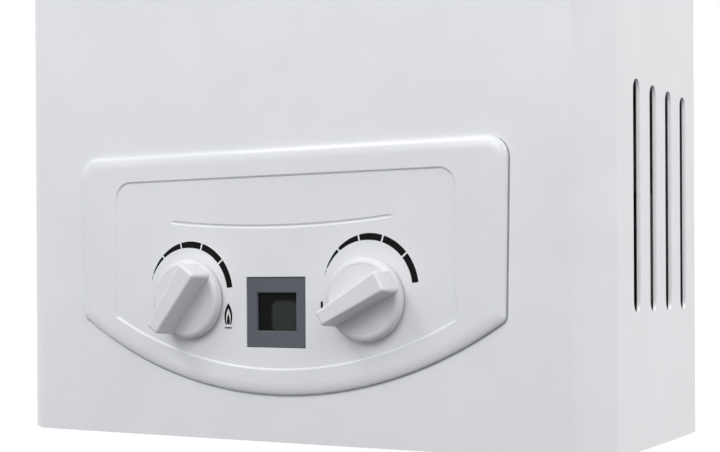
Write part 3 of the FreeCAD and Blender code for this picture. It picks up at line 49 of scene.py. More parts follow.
# colours and node helpers
def toLinear(value):
    return value / 12.92 if value <= 0.04045 else ((value + 0.055) / 1.055) ** 2.4


def hexColour(text):  # sRGB hex to linear, alpha 1
    return tuple(toLinear(int(text[i:i + 2], 16) / 255) for i in (1, 3, 5)) + (1.0,)


def addNode(tree, kind, settings=None, links=None):
    node = tree.nodes.new(kind)
    for key, value in (settings or {}).items():
        if isinstance(key, int):
            node.inputs[key].default_value = value
        elif key.startswith("in:"):
            node.inputs[key[3:]].default_value = value
        else:
            setattr(node, key, value)
    for key, source in (links or {}).items():
        tree.links.new(source, node.inputs[key])
    return node


def addMath(tree, operation, *values):  # each value is a number or a socket
    sides = list(enumerate(values))
    return addNode(tree, "ShaderNodeMath",
                   {"operation": operation, **{i: v for i, v in sides if isinstance(v, float)}},
                   {i: v for i, v in sides if not isinstance(v, float)}).outputs[0]


def addRamp(tree, source, colours, stops, target):
    ramp = addNode(tree, "ShaderNodeValToRGB", links={"Fac": source})
    for element, colour, stop in zip(ramp.color_ramp.elements, colours, stops):
        element.position = stop
        element.color = hexColour(colour)
    tree.links.new(ramp.outputs["Color"], target)


def startMaterial(name, settings):
    material = bpy.data.materials.new(name)
    material.use_nodes = True
    tree = material.node_tree
    tree.nodes.clear()
    shader = addNode(tree, "ShaderNodeBsdfPrincipled", settings)
    addNode(tree, "ShaderNodeOutputMaterial", links={"Surface": shader.outputs[0]})
    place = addNode(tree, "ShaderNodeTexCoord").outputs["Object"]
    return material, tree, shader, place


# Two near colours mixed by soft noise of "cloud" mm, a fine "grain" mm as bump, and roughness
# that wanders with the same noise. "stretch" draws the grain out along a rolled or turned axis.
def makeFinish(name, colours, roughness, grain, bump=0.08, metallic=0.0, ior=1.5, cloud=30.0,
               spread=0.05, stretch=(1, 1, 1)):
    material, tree, shader, place = startMaterial(name, {"in:Metallic": metallic, "in:IOR": ior})
    turned = addNode(tree, "ShaderNodeMapping", {"in:Scale": stretch}, {"Vector": place})
    soft = addNode(tree, "ShaderNodeTexNoise", {"in:Scale": 1000 / cloud, "in:Detail": 3.0},
                   {"Vector": turned.outputs[0]})
    addRamp(tree, soft.outputs["Fac"], colours, (0.35, 0.65), shader.inputs["Base Color"])
    fine = addNode(tree, "ShaderNodeTexNoise", {"in:Scale": 1000 / grain, "in:Detail": 2.0},
                   {"Vector": turned.outputs[0]})
    height = addNode(tree, "ShaderNodeBump", {"in:Strength": bump, "in:Distance": 0.0002},
                     {"Height": fine.outputs["Fac"]})
    tree.links.new(height.outputs["Normal"], shader.inputs["Normal"])
    wander = addNode(tree, "ShaderNodeMapRange", {"in:To Min": max(0.02, roughness - spread),
                                                 "in:To Max": roughness + spread},
                     {"Value": soft.outputs["Fac"]})
    tree.links.new(wander.outputs["Result"], shader.inputs["Roughness"])
    return material


# Smoked acrylic over a dark well. A rounded module behind it shows through a little lighter,
# low and to the right, with a soft edge. Sizes in mm on the panel.
windowPatch = {"centre": (3.6, 54.2), "half": (6.6, 6.6), "corner": 3.2, "blur": 1.0,
               "dark": "#141514", "light": "#373b37"}


def makeWindowFinish():
    material, tree, shader, place = startMaterial("smokedAcrylic", {"in:Roughness": 0.35,
                                                                    "in:IOR": 1.12})
    split = addNode(tree, "ShaderNodeSeparateXYZ", links={0: place})
    reach = []
    for axis, centre, half in zip("XZ", windowPatch["centre"], windowPatch["half"]):
        away = addMath(tree, "SUBTRACT", split.outputs[axis], centre / 1000)
        away = addMath(tree, "SUBTRACT", addMath(tree, "ABSOLUTE", away),
                       (half - windowPatch["corner"]) / 1000)
        reach.append(addMath(tree, "POWER", addMath(tree, "MAXIMUM", away, 0.0), 2.0))
    distance = addMath(tree, "SQRT", addMath(tree, "ADD", *reach))
    grit = addNode(tree, "ShaderNodeTexNoise", {"in:Scale": 1200.0}, {"Vector": place})
    edge = addNode(tree, "ShaderNodeMapRange",
                   {"interpolation_type": "SMOOTHSTEP",
                    "in:From Min": (windowPatch["corner"] - windowPatch["blur"]) / 1000,
                    "in:From Max": (windowPatch["corner"] + windowPatch["blur"]) / 1000,
                    "in:To Min": 1.0, "in:To Max": 0.0}, {"Value": distance})
    shade = addMath(tree, "MULTIPLY", edge.outputs["Result"], grit.outputs["Fac"])
    addRamp(tree, shade, (windowPatch["dark"], windowPatch["light"]), (0.0, 0.55),
            shader.inputs["Base Color"])
    return material


finishes = {  # named by material slot, but for the last two, which are looks of black_plastic
    # Powder coated sheet steel: satin white with a faint cool tint and a fine orange peel
    "white_paint": makeFinish("whitePowderCoat", ("#e4e5e8", "#e7e8eb"), 0.30, 1.6, 0.03),
    # Injection moulded ABS with polished tool faces: glossier than the paint
    "panel_plastic": makeFinish("polishedAbs", ("#e2e3e5", "#e5e6e8"), 0.20, 2.5, 0.015),
    # ABS from a lightly sparked tool: satin, with a fine even grain drawn at 0.6 mm
    "knob_plastic": makeFinish("satinAbs", ("#dcdcde", "#e0e0e2"), 0.50, 0.6, 0.05, ior=1.42),
    # Slate coloured ABS bezel, fine matt tooth
    "grey_plastic": makeFinish("slateAbs", ("#50565c", "#545a60"), 0.50, 0.5, 0.08, ior=1.4),
    # Black glass filled nylon: mottled and matt
    "black_plastic": makeFinish("blackNylon", ("#1a1b1c", "#212223"), 0.48, 0.7, 0.14, cloud=8.0),
    "red_plastic": makeFinish("redAbs", ("#8c1a12", "#941e15"), 0.40, 0.6, 0.08),
    "rubber": makeFinish("mouldedRubber", ("#191919", "#1f1f1f"), 0.75, 0.8, 0.15),
    # Woven glass laminate under green lacquer
    "board": makeFinish("greenLaminate", ("#12401f", "#1a4d28"), 0.35, 2.0, 0.1, cloud=6.0),
    "ceramic": makeFinish("glazedCeramic", ("#e8e3d8", "#efeae0"), 0.20, 3.0, 0.02),
    "cell_sleeve": makeFinish("shrinkSleeve", ("#2a2f38", "#303642"), 0.30, 4.0, 0.03),
    # Hot dip zinc: pale grey with a spangle a few millimetres across
    "zinc_steel": makeFinish("zincSpangle", ("#a3a7ab", "#b8bcc0"), 0.36, 2.5, 0.05, metallic=1.0,
                       cloud=7.0, spread=0.10),
    # Cold rolled stainless with a drawn grain
    "stainless": makeFinish("rolledStainless", ("#a9a8a4", "#b6b5b1"), 0.30, 1.2, 0.06,
                            metallic=1.0, stretch=(1, 12, 12)),
    # Bright nickel plate over drawn wire and screws
    "screw_steel": makeFinish("nickelPlate", ("#b9bbbd", "#c6c8ca"), 0.20, 1.0, 0.03,
                              metallic=1.0, cloud=10.0),
    # Turned brass with fine tool lines across its length
    "brass": makeFinish("turnedBrass", ("#b8954f", "#c7a45d"), 0.26, 1.5, 0.05, metallic=1.0,
                        cloud=8.0, stretch=(1, 1, 10)),
    # Drawn copper, dulled in patches by handling
    "copper": makeFinish("drawnCopper", ("#ad6743", "#c27c56"), 0.30, 4.0, 0.04, metallic=1.0,
                         cloud=14.0, spread=0.10),
    # Die cast aluminium: matt, finely pitted
    "cast_aluminium": makeFinish("castAluminium", ("#a3a6a8", "#b3b6b8"), 0.48, 0.8, 0.22,
                                metallic=1.0, cloud=9.0),
    "window": makeWindowFinish(),
    # Soft ribbed grip of black PVC
    "gripPvc": makeFinish("gripPvc", ("#1d1e20", "#242528"), 0.55, 0.9, 0.16, cloud=12.0),
    # Screen printing ink: dense black and dead matt
    "printInk": makeFinish("screenInk", ("#0f1010", "#131414"), 0.70, 0.8, 0.03, ior=1.15,
                           cloud=5.0),
}
for name, node in nodes.items():
    node.data.materials.clear()
    node.data.materials.append(finishes[slotOf[name]])
    for polygon in node.data.polygons:
        polygon.material_index = 0
print("stage: finishes on the CAD pieces")


def addObject(name, data):
    thing = bpy.data.objects.new(name, data)
    bpy.context.scene.collection.objects.link(thing)
    return thing


# camera, light and floor
shot = {"place": (0.31836, -0.54636, 0.06857), "turn": 29.28, "roll": -0.29, "lens": 68.32,
        "shiftUp": 56.54 / 720}
lamps = {  # place, target, width in m, watts, colour
    "keyUpperLeft": ((-0.66, -0.90, 1.20), (0.0, 0.0, 0.15), 0.36, 4.5, "#ffffff"),
    "frontLow": ((-0.15, -1.25, 0.85), (0.0, 0.0, 0.15), 0.80, 7.0, "#ffffff"),
    "frontRight": ((1.6, -1.1, 1.55), (0.13, -0.04, 0.18), 1.20, 8.0, "#fffefa"),
    "sideRight": ((1.9, 0.3, 1.8), (0.15, 0.0, 0.18), 1.40, 34.0, "#fffdf8"),
}
studio = {"soft": "#e9ebf0", "softLevel": 0.80, "floorGlow": 0.95}


def makeCamera():
    data = bpy.data.cameras.new("photoCamera")
    camera = addObject("photoCamera", data)
    data.sensor_width = 36.0
    data.lens = shot["lens"]
    data.shift_y = shot["shiftUp"]
    data.clip_start = 0.01
    camera.matrix_world = (Matrix.Translation(shot["place"])
                           @ Matrix.Rotation(math.radians(shot["turn"]), 4, "Z")
                           @ Matrix.Rotation(math.radians(90), 4, "X")
                           @ Matrix.Rotation(math.radians(shot["roll"]), 4, "Z"))
    bpy.context.scene.camera = camera


def makeLamps():
    for name, (place, target, width, watts, colour) in lamps.items():
        data = bpy.data.lights.new(name, "AREA")
        data.size = width
        data.energy = watts
        data.color = hexColour(colour)[:3]
        lamp = addObject(name, data)
        lamp.location = place
        lamp.rotation_euler = (Vector(target) - Vector(place)).to_track_quat("-Z", "Y").to_euler()


def seenDirectly(tree):  # 1 for what the camera sees itself, through glass or in a reflection
    rays = addNode(tree, "ShaderNodeLightPath").outputs
    either = addMath(tree, "MAXIMUM", rays["Is Camera Ray"], rays["Is Transmission Ray"])
    return addMath(tree, "MAXIMUM", either, rays["Is Glossy Ray"])


def makeWorld():  # soft pale light on the object, plain white for the camera and in reflections
    world = bpy.data.worlds.new("paleStudio")
    bpy.context.scene.world = world
    world.use_nodes = True
    tree = world.node_tree
    tree.nodes.clear()
    soft = addNode(tree, "ShaderNodeBackground", {"in:Color": hexColour(studio["soft"]),
                                                  "in:Strength": studio["softLevel"]})
    white = addNode(tree, "ShaderNodeBackground", {"in:Color": (1, 1, 1, 1), "in:Strength": 1.0})
    mix = addNode(tree, "ShaderNodeMixShader",
                  links={0: seenDirectly(tree), 1: soft.outputs[0], 2: white.outputs[0]})
    addNode(tree, "ShaderNodeOutputWorld", links={"Surface": mix.outputs[0]})


def makeFloor():  # pale card that takes the shadow and glows a little where it is seen
    bpy.ops.mesh.primitive_plane_add(size=12, location=(0, 0, -0.0005))
    floor = bpy.context.object
    floor.name = "paleFloor"
    material, tree, shader, place = startMaterial("paleCard", {"in:Roughness": 0.9,
                                                               "in:Specular IOR Level": 0.0})
    noise = addNode(tree, "ShaderNodeTexNoise", {"in:Scale": 3.0}, {"Vector": place})
    addRamp(tree, noise.outputs["Fac"], ("#5a5b5c", "#606162"), (0.0, 1.0),
            shader.inputs["Base Color"])
    share = addMath(tree, "MULTIPLY", seenDirectly(tree), studio["floorGlow"])
    glow = addNode(tree, "ShaderNodeEmission", links={"Strength": share})
    both = addNode(tree, "ShaderNodeAddShader", links={0: shader.outputs[0], 1: glow.outputs[0]})
    output = [n for n in tree.nodes if n.type == "OUTPUT_MATERIAL"][0]
    tree.links.new(both.outputs[0], output.inputs["Surface"])
    floor.data.materials.append(material)


makeCamera()
makeLamps()
makeWorld()
makeFloor()
bpy.context.scene.view_settings.view_transform = "Standard"
print("stage: camera, light and floor")


# mesh helpers, in millimetres until a piece is finished
def roundCorners(points, radii, steps=6, closed=True):
    result = []
    count = len(points)
    for number, point in enumerate(points):
        radius = radii[number]
        if radius <= 0 or (not closed and number in (0, count - 1)):
            result.append((point[0], point[1]))
            continue
        here = Vector(point)
        inward = (here - Vector(points[number - 1])).normalized()
        onward = (Vector(points[(number + 1) % count]) - here).normalized()
        turn = inward.angle_signed(onward) * -1
        reach = radius * math.tan(abs(turn) / 2)
        side = 1 if turn > 0 else -1
        start = here - inward * reach
        centre = start + Vector((-inward.y, inward.x)) * side * radius
        first = math.atan2(start.y - centre.y, start.x - centre.x)
        for step in range(steps + 1):
            angle = first + turn * step / steps
            result.append((centre.x + radius * math.cos(angle),
                           centre.y + radius * math.sin(angle)))
    return result


def offsetLine(points, distance, closed=True):  # moves to the left of the direction of travel
    count = len(points)
    result = []
    for number in range(count):
        here = Vector(points[number])
        before = Vector(points[number - 1]) if closed or number > 0 else None
        after = Vector(points[(number + 1) % count]) if closed or number < count - 1 else None
        sides = []
        for first, second in ((before, here), (here, after)):
            if first is not None and second is not None and (second - first).length > 1e-7:
                run = (second - first).normalized()
                sides.append(Vector((-run.y, run.x)))
        if not sides:
            result.append((here.x, here.y))
            continue
        mean = sum(sides, Vector((0, 0))).normalized()
        stretch = 1 / max(0.3, mean.dot(sides[0]))
        moved = here + mean * distance * stretch
        result.append((moved.x, moved.y))
    return result


def circlePoints(centre, radius, steps):
    turns = [2 * math.pi * step / steps for step in range(steps)]
    return [(centre[0] + radius * math.cos(turn), centre[1] + radius * math.sin(turn))
            for turn in turns]


def boxPoints(left, right, low, high, radius=0.0, steps=3):
    corners = [(left, low), (right, low), (right, high), (left, high)]
    return roundCorners(corners, [radius] * 4, steps) if radius > 0 else corners


def addLoop(mesh, points, lift):  # lift turns a 2D point into a place
    return [mesh.verts.new(lift(point)) for point in points]


def atDepth(level):  # lifts a point of the front view
    return lambda p: (p[0], level, p[1])


def addStrip(mesh, first, second, closed=True):
    count = len(first)
    for number in range(count if closed else count - 1):
        following = (number + 1) % count
        mesh.faces.new([first[number], first[following], second[following], second[number]])


def addSkin(mesh, rings):
    for first, second in zip(rings, rings[1:]):
        addStrip(mesh, first, second)


def fillFlat(mesh, loops, normal):
    edges = []
    for loop in loops:
        for number, vert in enumerate(loop):
            pair = (vert, loop[(number + 1) % len(loop)])
            edges.append(mesh.edges.get(pair) or mesh.edges.new(pair))
    bmesh.ops.triangle_fill(mesh, use_beauty=True, edges=edges, normal=normal)


def addLathe(mesh, profile, place, steps):  # profile of (radius, along), first to last
    rings = []
    for radius, along in profile:
        points = circlePoints((0, 0), radius, steps) if radius > 1e-6 else [(0.0, 0.0)]
        rings.append(addLoop(mesh, points, lambda p: place(p[0], p[1], along)))
    for first, second in zip(rings, rings[1:]):
        for number in range(steps):
            following = (number + 1) % steps
            corners = []
            for vert in (first[number % len(first)], first[following % len(first)],
                         second[following % len(second)], second[number % len(second)]):
                if vert not in corners:
                    corners.append(vert)
            if len(corners) > 2:
                mesh.faces.new(corners)


def roundedProfile(points, radii, steps=4):
    return roundCorners(points, radii, steps, closed=False)


def meshObject(name, mesh):
    data = bpy.data.meshes.new(name)
    mesh.to_mesh(data)
    mesh.free()
    return addObject(name, data)


# Turns a bmesh in mm into a finished object at the origin, in metres.
def finishPiece(name, mesh, slot, replaced=(), outwards=True, **looks):
    bmesh.ops.remove_doubles(mesh, verts=mesh.verts, dist=1e-4)
    bmesh.ops.dissolve_degenerate(mesh, edges=mesh.edges, dist=1e-5)
    if outwards:
        bmesh.ops.recalc_face_normals(mesh, faces=mesh.faces)
    bmesh.ops.scale(mesh, vec=(0.001, 0.001, 0.001), verts=mesh.verts)
    dressPiece(meshObject(name, mesh), slot, replaced, **looks)


def dressPiece(piece, slot, replaced=(), body="case", finish=None, sharp=32.0, sheet=None,
               weighted=True):
    piece.data.materials.clear()
    piece.data.materials.append(finishes[finish or slot])
    for polygon in piece.data.polygons:
        polygon.use_smooth = True
    if sheet:
        wall = piece.modifiers.new("wall", "SOLIDIFY")
        wall.thickness = sheet / 1000
        wall.offset = -1
        wall.use_even_offset = True
        bakePiece(piece)
    piece.data.set_sharp_from_angle(angle=math.radians(sharp))
    if weighted:
        normals = piece.modifiers.new("normals", "WEIGHTED_NORMAL")
        normals.keep_sharp = True
        normals.weight = 60
        bakePiece(piece)
    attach(piece, body)
    if replaced:
        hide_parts(*replaced)


def bakePiece(piece):
    graph = bpy.context.evaluated_depsgraph_get()
    graph.update()
    plain = bpy.data.meshes.new_from_object(piece.evaluated_get(graph))
    piece.modifiers.clear()
    old = piece.data
    piece.data = plain
    bpy.data.meshes.remove(old)
    plain.name = piece.name


# the control panel's sizes come first, because the cover has a pressed seam round its outline
panelSizes = {
    "half": 107.8, "dipHalf": 106.4, "top": 126.6, "corner": 53.3, "dip": 32.8,
    "topRound": 9.0, "lowRound": 4.0, "back": -51.1, "rise": 2.3, "skirt": 0.55, "rimRound": 5.6,
    "fieldHalf": 86.0, "fieldLeft": 0.9, "fieldTop": 115.1, "fieldMargin": 10.5,
    "fieldRound": 8.0, "fieldCorner": 1.5, "sunk": 0.7,
    "grooveHalf": 57.3, "grooveMiddle": 0.8, "grooveEnd": 96.1, "grooveSag": 3.2,
    "grooveWide": 0.85, "grooveDeep": 0.55,
    "spindleX": 45.0, "spindleZ": 61.5, "spindleHole": 5.0,
    "displayHalf": 15.05, "displayLow": 40.75, "displayHigh": 71.25,
    "pinX": 92.0, "pinZ": 98.0, "pinRadius": 2.5, "pinLong": 7.5, "pinEnd": 8.2,
}


def dipArc(half, radius, centre, steps=56):
    first = math.asin(-half / radius)
    return [(radius * math.sin(first - 2 * first * step / steps),
             centre - radius * math.cos(first - 2 * first * step / steps))
            for step in range(steps + 1)]


def panelOutline(inset=0.0):  # the same number of points at every inset, so rings join up
    s = panelSizes
    radius, centre = panelDip()
    radius -= inset
    slope = (s["half"] - s["dipHalf"]) / (s["top"] - s["corner"])
    half = s["dipHalf"] - inset
    for _ in range(3):  # settles where the slanted side meets the arc
        level = centre - math.sqrt(radius ** 2 - half ** 2)
        half = s["dipHalf"] - inset + slope * (level - s["corner"])
    low = max(0.5, s["lowRound"] - inset)
    arc = dipArc(half, radius, centre)
    points = arc + [(s["half"] - inset, s["top"] - inset), (inset - s["half"], s["top"] - inset)]
    high = s["topRound"] - inset
    return roundCorners(points, [low] + [0] * (len(arc) - 2) + [low, high, high], 8)


def panelDip():  # radius and centre of the arc that the lower edge follows
    s = panelSizes
    radius = (s["dipHalf"] ** 2 + s["dip"] ** 2) / (2 * s["dip"])
    return radius, s["corner"] - s["dip"] + radius


# front cover: one bent sheet, with pressed louvres in both sides
coverSizes = {
    "half": 147.5, "rear": 68.9, "front": -51.1, "high": 400.0, "cutX": 13.8, "cutY": 11.5,
    "bend": 2.4, "sheet": 0.8, "marginWidth": 24.0, "marginFall": 0.9, "cutCrown": 0.8,
    "slotFirst": 32.3, "slotPitch": 21.65, "slotWidth": 9.5, "slotLow": 55.8, "slotLong": 94.0,
    "slotCount": 4, "slotBand": 0.7, "lipWide": 1.6, "lipDeep": 1.25,
    "openingHalf": 66.0, "openingLow": 37.0, "openingHigh": 87.0, "openingRound": 3.0,
    "studX": 92.0, "studZ": 98.0, "studHole": 2.7,
    "screwY": 61.9, "screwZ": (215.0, 380.0), "screwHole": 2.4,
    "flueHalf": 73.0, "flueFront": -18.1, "flueBack": 41.9,
    "seamWide": 0.75, "seamTight": 0.1, "seamDeep": 0.75, "seamUnder": 2.0, "topHole": 2.2,
    "topScrews": [(82, -5.6), (82, 29.4), (-82, -5.6), (-82, 29.4), (121, 18.9), (-121, 18.9)],
}


def makeFrontCover():
    s = coverSizes
    mesh = bmesh.new()
    nose = s["half"] - s["cutX"]
    shoulder = s["front"] + s["cutY"]
    shares = [step / 8 for step in range(9)]
    margin = [(nose - s["marginWidth"] * (1 - t), s["front"] + s["marginFall"] * t * t)
              for t in shares]
    crown = []
    bendStart = Vector((s["half"], shoulder))
    cut = Vector(margin[-1]) - bendStart
    for step in range(1, 6):
        t = step / 6
        at = (bendStart + cut * t
              + Vector((-cut.y, cut.x)).normalized() * 4 * s["cutCrown"] * t * (1 - t))
        crown.append((at.x, at.y))
    right = [(s["half"], s["rear"]), (s["half"], shoulder)] + crown + margin[::-1]
    radii = [0, s["bend"]] + [0] * len(crown) + [s["bend"]] + [0] * (len(margin) - 1)
    right = roundCorners(right, radii, 6, closed=False)
    profile = right + [(-x, y) for x, y in reversed(right)]
    wallTop = s["high"] - s["bend"]
    rows = [[mesh.verts.new((x, y, 0)) for x, y in profile],
            [mesh.verts.new((x, y, wallTop)) for x, y in profile]]
    middle = len(right) - 1
    count = len(profile)
    for number in range(count - 1):
        if number not in (0, middle, count - 2):
            mesh.faces.new([rows[0][number], rows[0][number + 1], rows[1][number + 1],
                            rows[1][number]])
    for step in range(1, 6):
        angle = math.radians(90 * step / 5)
        inset = offsetLine(profile, -s["bend"] * (1 - math.cos(angle)), closed=False)
        ring = [mesh.verts.new((x, y, wallTop + s["bend"] * math.sin(angle))) for x, y in inset]
        addStrip(mesh, rows[-1], ring, closed=False)
        rows.append(ring)
    bmesh.ops.remove_doubles(mesh, verts=rows[-1], dist=0.08)  # where the bends close up
    bmesh.ops.remove_doubles(mesh, verts=mesh.verts, dist=1e-4)
    mesh.verts.ensure_lookup_table()

    top = [v for v in mesh.verts if abs(v.co.z - s["high"]) < 1e-3]
    loop = []
    for x, y in offsetLine(profile, -s["bend"], closed=False):
        near = min(top, key=lambda v: (v.co.x - x) ** 2 + (v.co.y - y) ** 2)
        if near not in loop:
            loop.append(near)
    shapes = [boxPoints(-s["flueHalf"], s["flueHalf"], s["flueFront"], s["flueBack"],
                        s["openingRound"])]
    shapes += [circlePoints(spot, s["topHole"], 16) for spot in s["topScrews"]]
    holes = [addLoop(mesh, shape, lambda p: (p[0], p[1], s["high"])) for shape in shapes]
    fillFlat(mesh, [loop] + holes, (0, 0, 1))

    def nearest(x, y, z):
        return min(mesh.verts, key=lambda v: (v.co - Vector((x, y, z))).length_squared)

    left, rightEnd = profile[middle + 1], profile[middle]
    front = [nearest(*rightEnd, 0), nearest(*rightEnd, wallTop), nearest(*left, wallTop),
             nearest(*left, 0)]
    shapes = [boxPoints(-s["openingHalf"], s["openingHalf"], s["openingLow"], s["openingHigh"],
                        s["openingRound"])]
    shapes += [circlePoints((x, s["studZ"]), s["studHole"], 16) for x in (s["studX"], -s["studX"])]
    holes = [addLoop(mesh, shape, atDepth(s["front"])) for shape in shapes]
    deep = s["front"] + s["seamDeep"]
    tight, wide = panelOutline(-s["seamTight"]), panelOutline(-s["seamWide"])
    inside = panelOutline(s["seamUnder"])
    outside = []
    for near, far in zip(tight, wide):  # the joint opens to the right and below
        way = (Vector(far) - Vector(near)).normalized()
        share = min(1.0, max(0.0, 0.5 + 1.2 * (0.6 * way.x - 0.8 * way.y)))
        outside.append((near[0] + (far[0] - near[0]) * share, near[1] + (far[1] - near[1]) * share))
    seam = [addLoop(mesh, points, atDepth(level)) for points, level in (
        (outside, s["front"]), (outside, deep), (inside, deep), (inside, s["front"]))]
    addSkin(mesh, seam)
    fillFlat(mesh, [front, seam[0]], (0, -1, 0))
    fillFlat(mesh, [seam[-1]] + holes, (0, -1, 0))

    edgeY = profile[1][1]
    for sign in (1, -1):
        wall = sign * s["half"]
        side = [nearest(wall, y, z) for y, z in ((s["rear"], 0), (edgeY, 0), (edgeY, wallTop),
                                                 (s["rear"], wallTop))]
        holes = [addLoop(mesh, circlePoints((s["screwY"], z), s["screwHole"], 20),
                         lambda p: (wall, p[0], p[1])) for z in s["screwZ"]]
        for number in range(s["slotCount"]):
            first = s["front"] + s["slotFirst"] + s["slotPitch"] * number
            holes.append(addLouvre(mesh, wall, sign, first))
        fillFlat(mesh, [side] + holes, (sign, 0, 0))
    bmesh.ops.recalc_face_normals(mesh, faces=mesh.faces)
    probe = max(mesh.faces, key=lambda f: f.calc_area() if abs(f.normal.y) > 0.99 else 0)
    if probe.normal.y > 0:
        bmesh.ops.reverse_faces(mesh, faces=mesh.faces)
    finishPiece("frontCover", mesh, "white_paint", ["front_cover"], outwards=False, sharp=28.0,
                sheet=s["sheet"])


# One louvre: the slot's rim, a narrow band round it that takes the bend, and the lip that is
# pressed inwards from the rear edge and runs out to nothing at both rounded ends.
def addLouvre(mesh, wall, sign, first):
    s = coverSizes
    radius = s["slotWidth"] / 2
    centre = first + radius
    low, high = s["slotLow"] + radius, s["slotLow"] + s["slotLong"] - radius

    def bow(level, first, last):  # points of a rounded end, 9 degrees apart
        turns = [math.radians(9 * step) for step in range(first, last + 1)]
        return [(centre + radius * math.cos(turn), level + radius * math.sin(turn))
                for turn in turns]

    straight = [(centre + radius, low + (high - low) * step / 6) for step in range(1, 6)]
    rear = bow(low, -10, 0) + straight + bow(high, 0, 10)
    points = rear + bow(high, 11, 20) + bow(low, 20, 29)
    rim = addLoop(mesh, points, lambda p: (wall, p[0], p[1]))
    support = addLoop(mesh, offsetLine(points, -s["slotBand"]), lambda p: (wall, p[0], p[1]))
    addStrip(mesh, rim, support)
    columns = [rim[:len(rear)]]
    for column in range(1, 8):
        a = column / 7
        line = []
        for number, (y, z) in enumerate(rear):
            share = (max(0.0, y - centre) / radius) ** 0.5
            free = y - s["lipWide"] * share
            depth = s["lipDeep"] * share
            fall = depth * (1 - math.cos(a * math.pi / 2 * 0.9)) / (1 - math.cos(math.pi * 0.45))
            line.append(mesh.verts.new((wall - sign * fall, y + (free - y) * a, z)))
        columns.append(line)
    for before, after in zip(columns, columns[1:]):
        for number in range(len(rear) - 1):
            corners = [before[number], before[number + 1], after[number + 1], after[number]]
            spots = [tuple(round(c, 4) for c in v.co) for v in corners]
            kept = [v for i, v in enumerate(corners) if spots[i] not in spots[:i]]
            if len(kept) > 2:
                mesh.faces.new(kept)
    return support


makeFrontCover()
print("stage: front cover")


# a moulding with a broad soft rim, a slightly sunk field, a groove and its openings
def makeControlPanel():
    s = panelSizes
    mesh = bmesh.new()
    radius, centre = panelDip()
    face = s["back"] - s["rise"]

    back = addLoop(mesh, panelOutline(), atDepth(s["back"]))
    last = back
    rings = [(0.0, s["back"] - s["skirt"])]
    for step in range(1, 13):
        angle = math.radians(90 * step / 12)
        rings.append((s["rimRound"] * (1 - math.cos(angle)),
                      s["back"] - s["skirt"] - (s["rise"] - s["skirt"]) * math.sin(angle)))
    for inset, level in rings:
        ring = addLoop(mesh, panelOutline(inset), atDepth(level))
        addStrip(mesh, last, ring)
        last = ring

    fieldRadius = radius - s["fieldMargin"]
    half = s["fieldHalf"]
    fieldArc = dipArc(half, fieldRadius, centre)
    fieldPoints = fieldArc + [(half, s["fieldTop"]), (-half, s["fieldTop"])]
    fieldPoints = [(x - s["fieldLeft"] * (half - x) / (2 * half), z) for x, z in fieldPoints]
    fieldRadii = ([s["fieldCorner"]] + [0] * (len(fieldArc) - 2)
                  + [s["fieldCorner"], s["fieldRound"], s["fieldRound"]])
    field = roundCorners(fieldPoints, fieldRadii, 8)
    edge = addLoop(mesh, field, atDepth(face))
    fillFlat(mesh, [last, edge], (0, -1, 0))
    last = edge
    for inset, level in ((0.14, face + 0.04), (0.34, face + 0.18), (0.62, face + s["sunk"] - 0.18),
                         (0.84, face + s["sunk"] - 0.04), (1.0, face + s["sunk"])):
        ring = addLoop(mesh, offsetLine(field, inset), atDepth(level))
        addStrip(mesh, last, ring)
        last = ring
    floor = face + s["sunk"]

    ringRadius = (s["grooveHalf"] ** 2 + s["grooveSag"] ** 2) / (2 * s["grooveSag"])
    lines = [[] for _ in range(5)]
    steps = 60
    for step in range(steps + 1):
        x = -s["grooveHalf"] + 2 * s["grooveHalf"] * step / steps
        level = (s["grooveEnd"] - s["grooveSag"] + ringRadius
                 - math.sqrt(ringRadius ** 2 - x * x))
        near = min(step, steps - step) / 2
        width = math.sqrt(min(1.0, near))
        for line, share, deep in zip(lines, (1, 0.55, 0, -0.55, -1), (0, 0.75, 1, 0.75, 0)):
            line.append(mesh.verts.new((x + s["grooveMiddle"],
                                        floor + s["grooveDeep"] * deep * width,
                                        level + s["grooveWide"] * share * width)))
    for upper, lower in zip(lines, lines[1:]):
        for step in range(steps):
            mesh.faces.new([upper[step], upper[step + 1], lower[step + 1], lower[step]])
    bmesh.ops.remove_doubles(mesh, verts=sum(lines, []), dist=1e-5)
    upper, lower = ([v for v in line if v.is_valid] for line in (lines[0], lines[-1]))
    groove = []
    for vert in upper + lower[::-1]:
        if vert not in groove:
            groove.append(vert)
    for vert in [v for line in lines for v in (line[0], line[-1]) if v.is_valid]:
        if vert not in groove:
            groove.insert(0 if vert.co.x < 0 else len(upper), vert)

    openings = [boxPoints(-s["displayHalf"], s["displayHalf"], s["displayLow"], s["displayHigh"])]
    openings += [circlePoints((x, s["spindleZ"]), s["spindleHole"], 32)
                 for x in (-s["spindleX"], s["spindleX"])]
    near, far = [], []
    for points in openings:
        near.append(addLoop(mesh, points, atDepth(floor)))
        far.append(addLoop(mesh, points, atDepth(s["back"])))
        addStrip(mesh, near[-1], far[-1])
    fillFlat(mesh, [last, groove] + near, (0, -1, 0))
    fillFlat(mesh, [back] + far, (0, 1, 0))
    pin, long = s["pinRadius"], -s["pinLong"]
    for x in (-s["pinX"], s["pinX"]):
        addLathe(mesh, [(0, 0), (pin - 0.4, 0), (pin, -0.5), (pin, long), (0, long)],
                 lambda u, v, w: (x + u, s["back"] + s["pinEnd"] + w, s["pinZ"] + v), 20)
    finishPiece("controlPanel", mesh, "panel_plastic", ["control_panel"], sharp=38.0)


makeControlPanel()
print("stage: control panel")


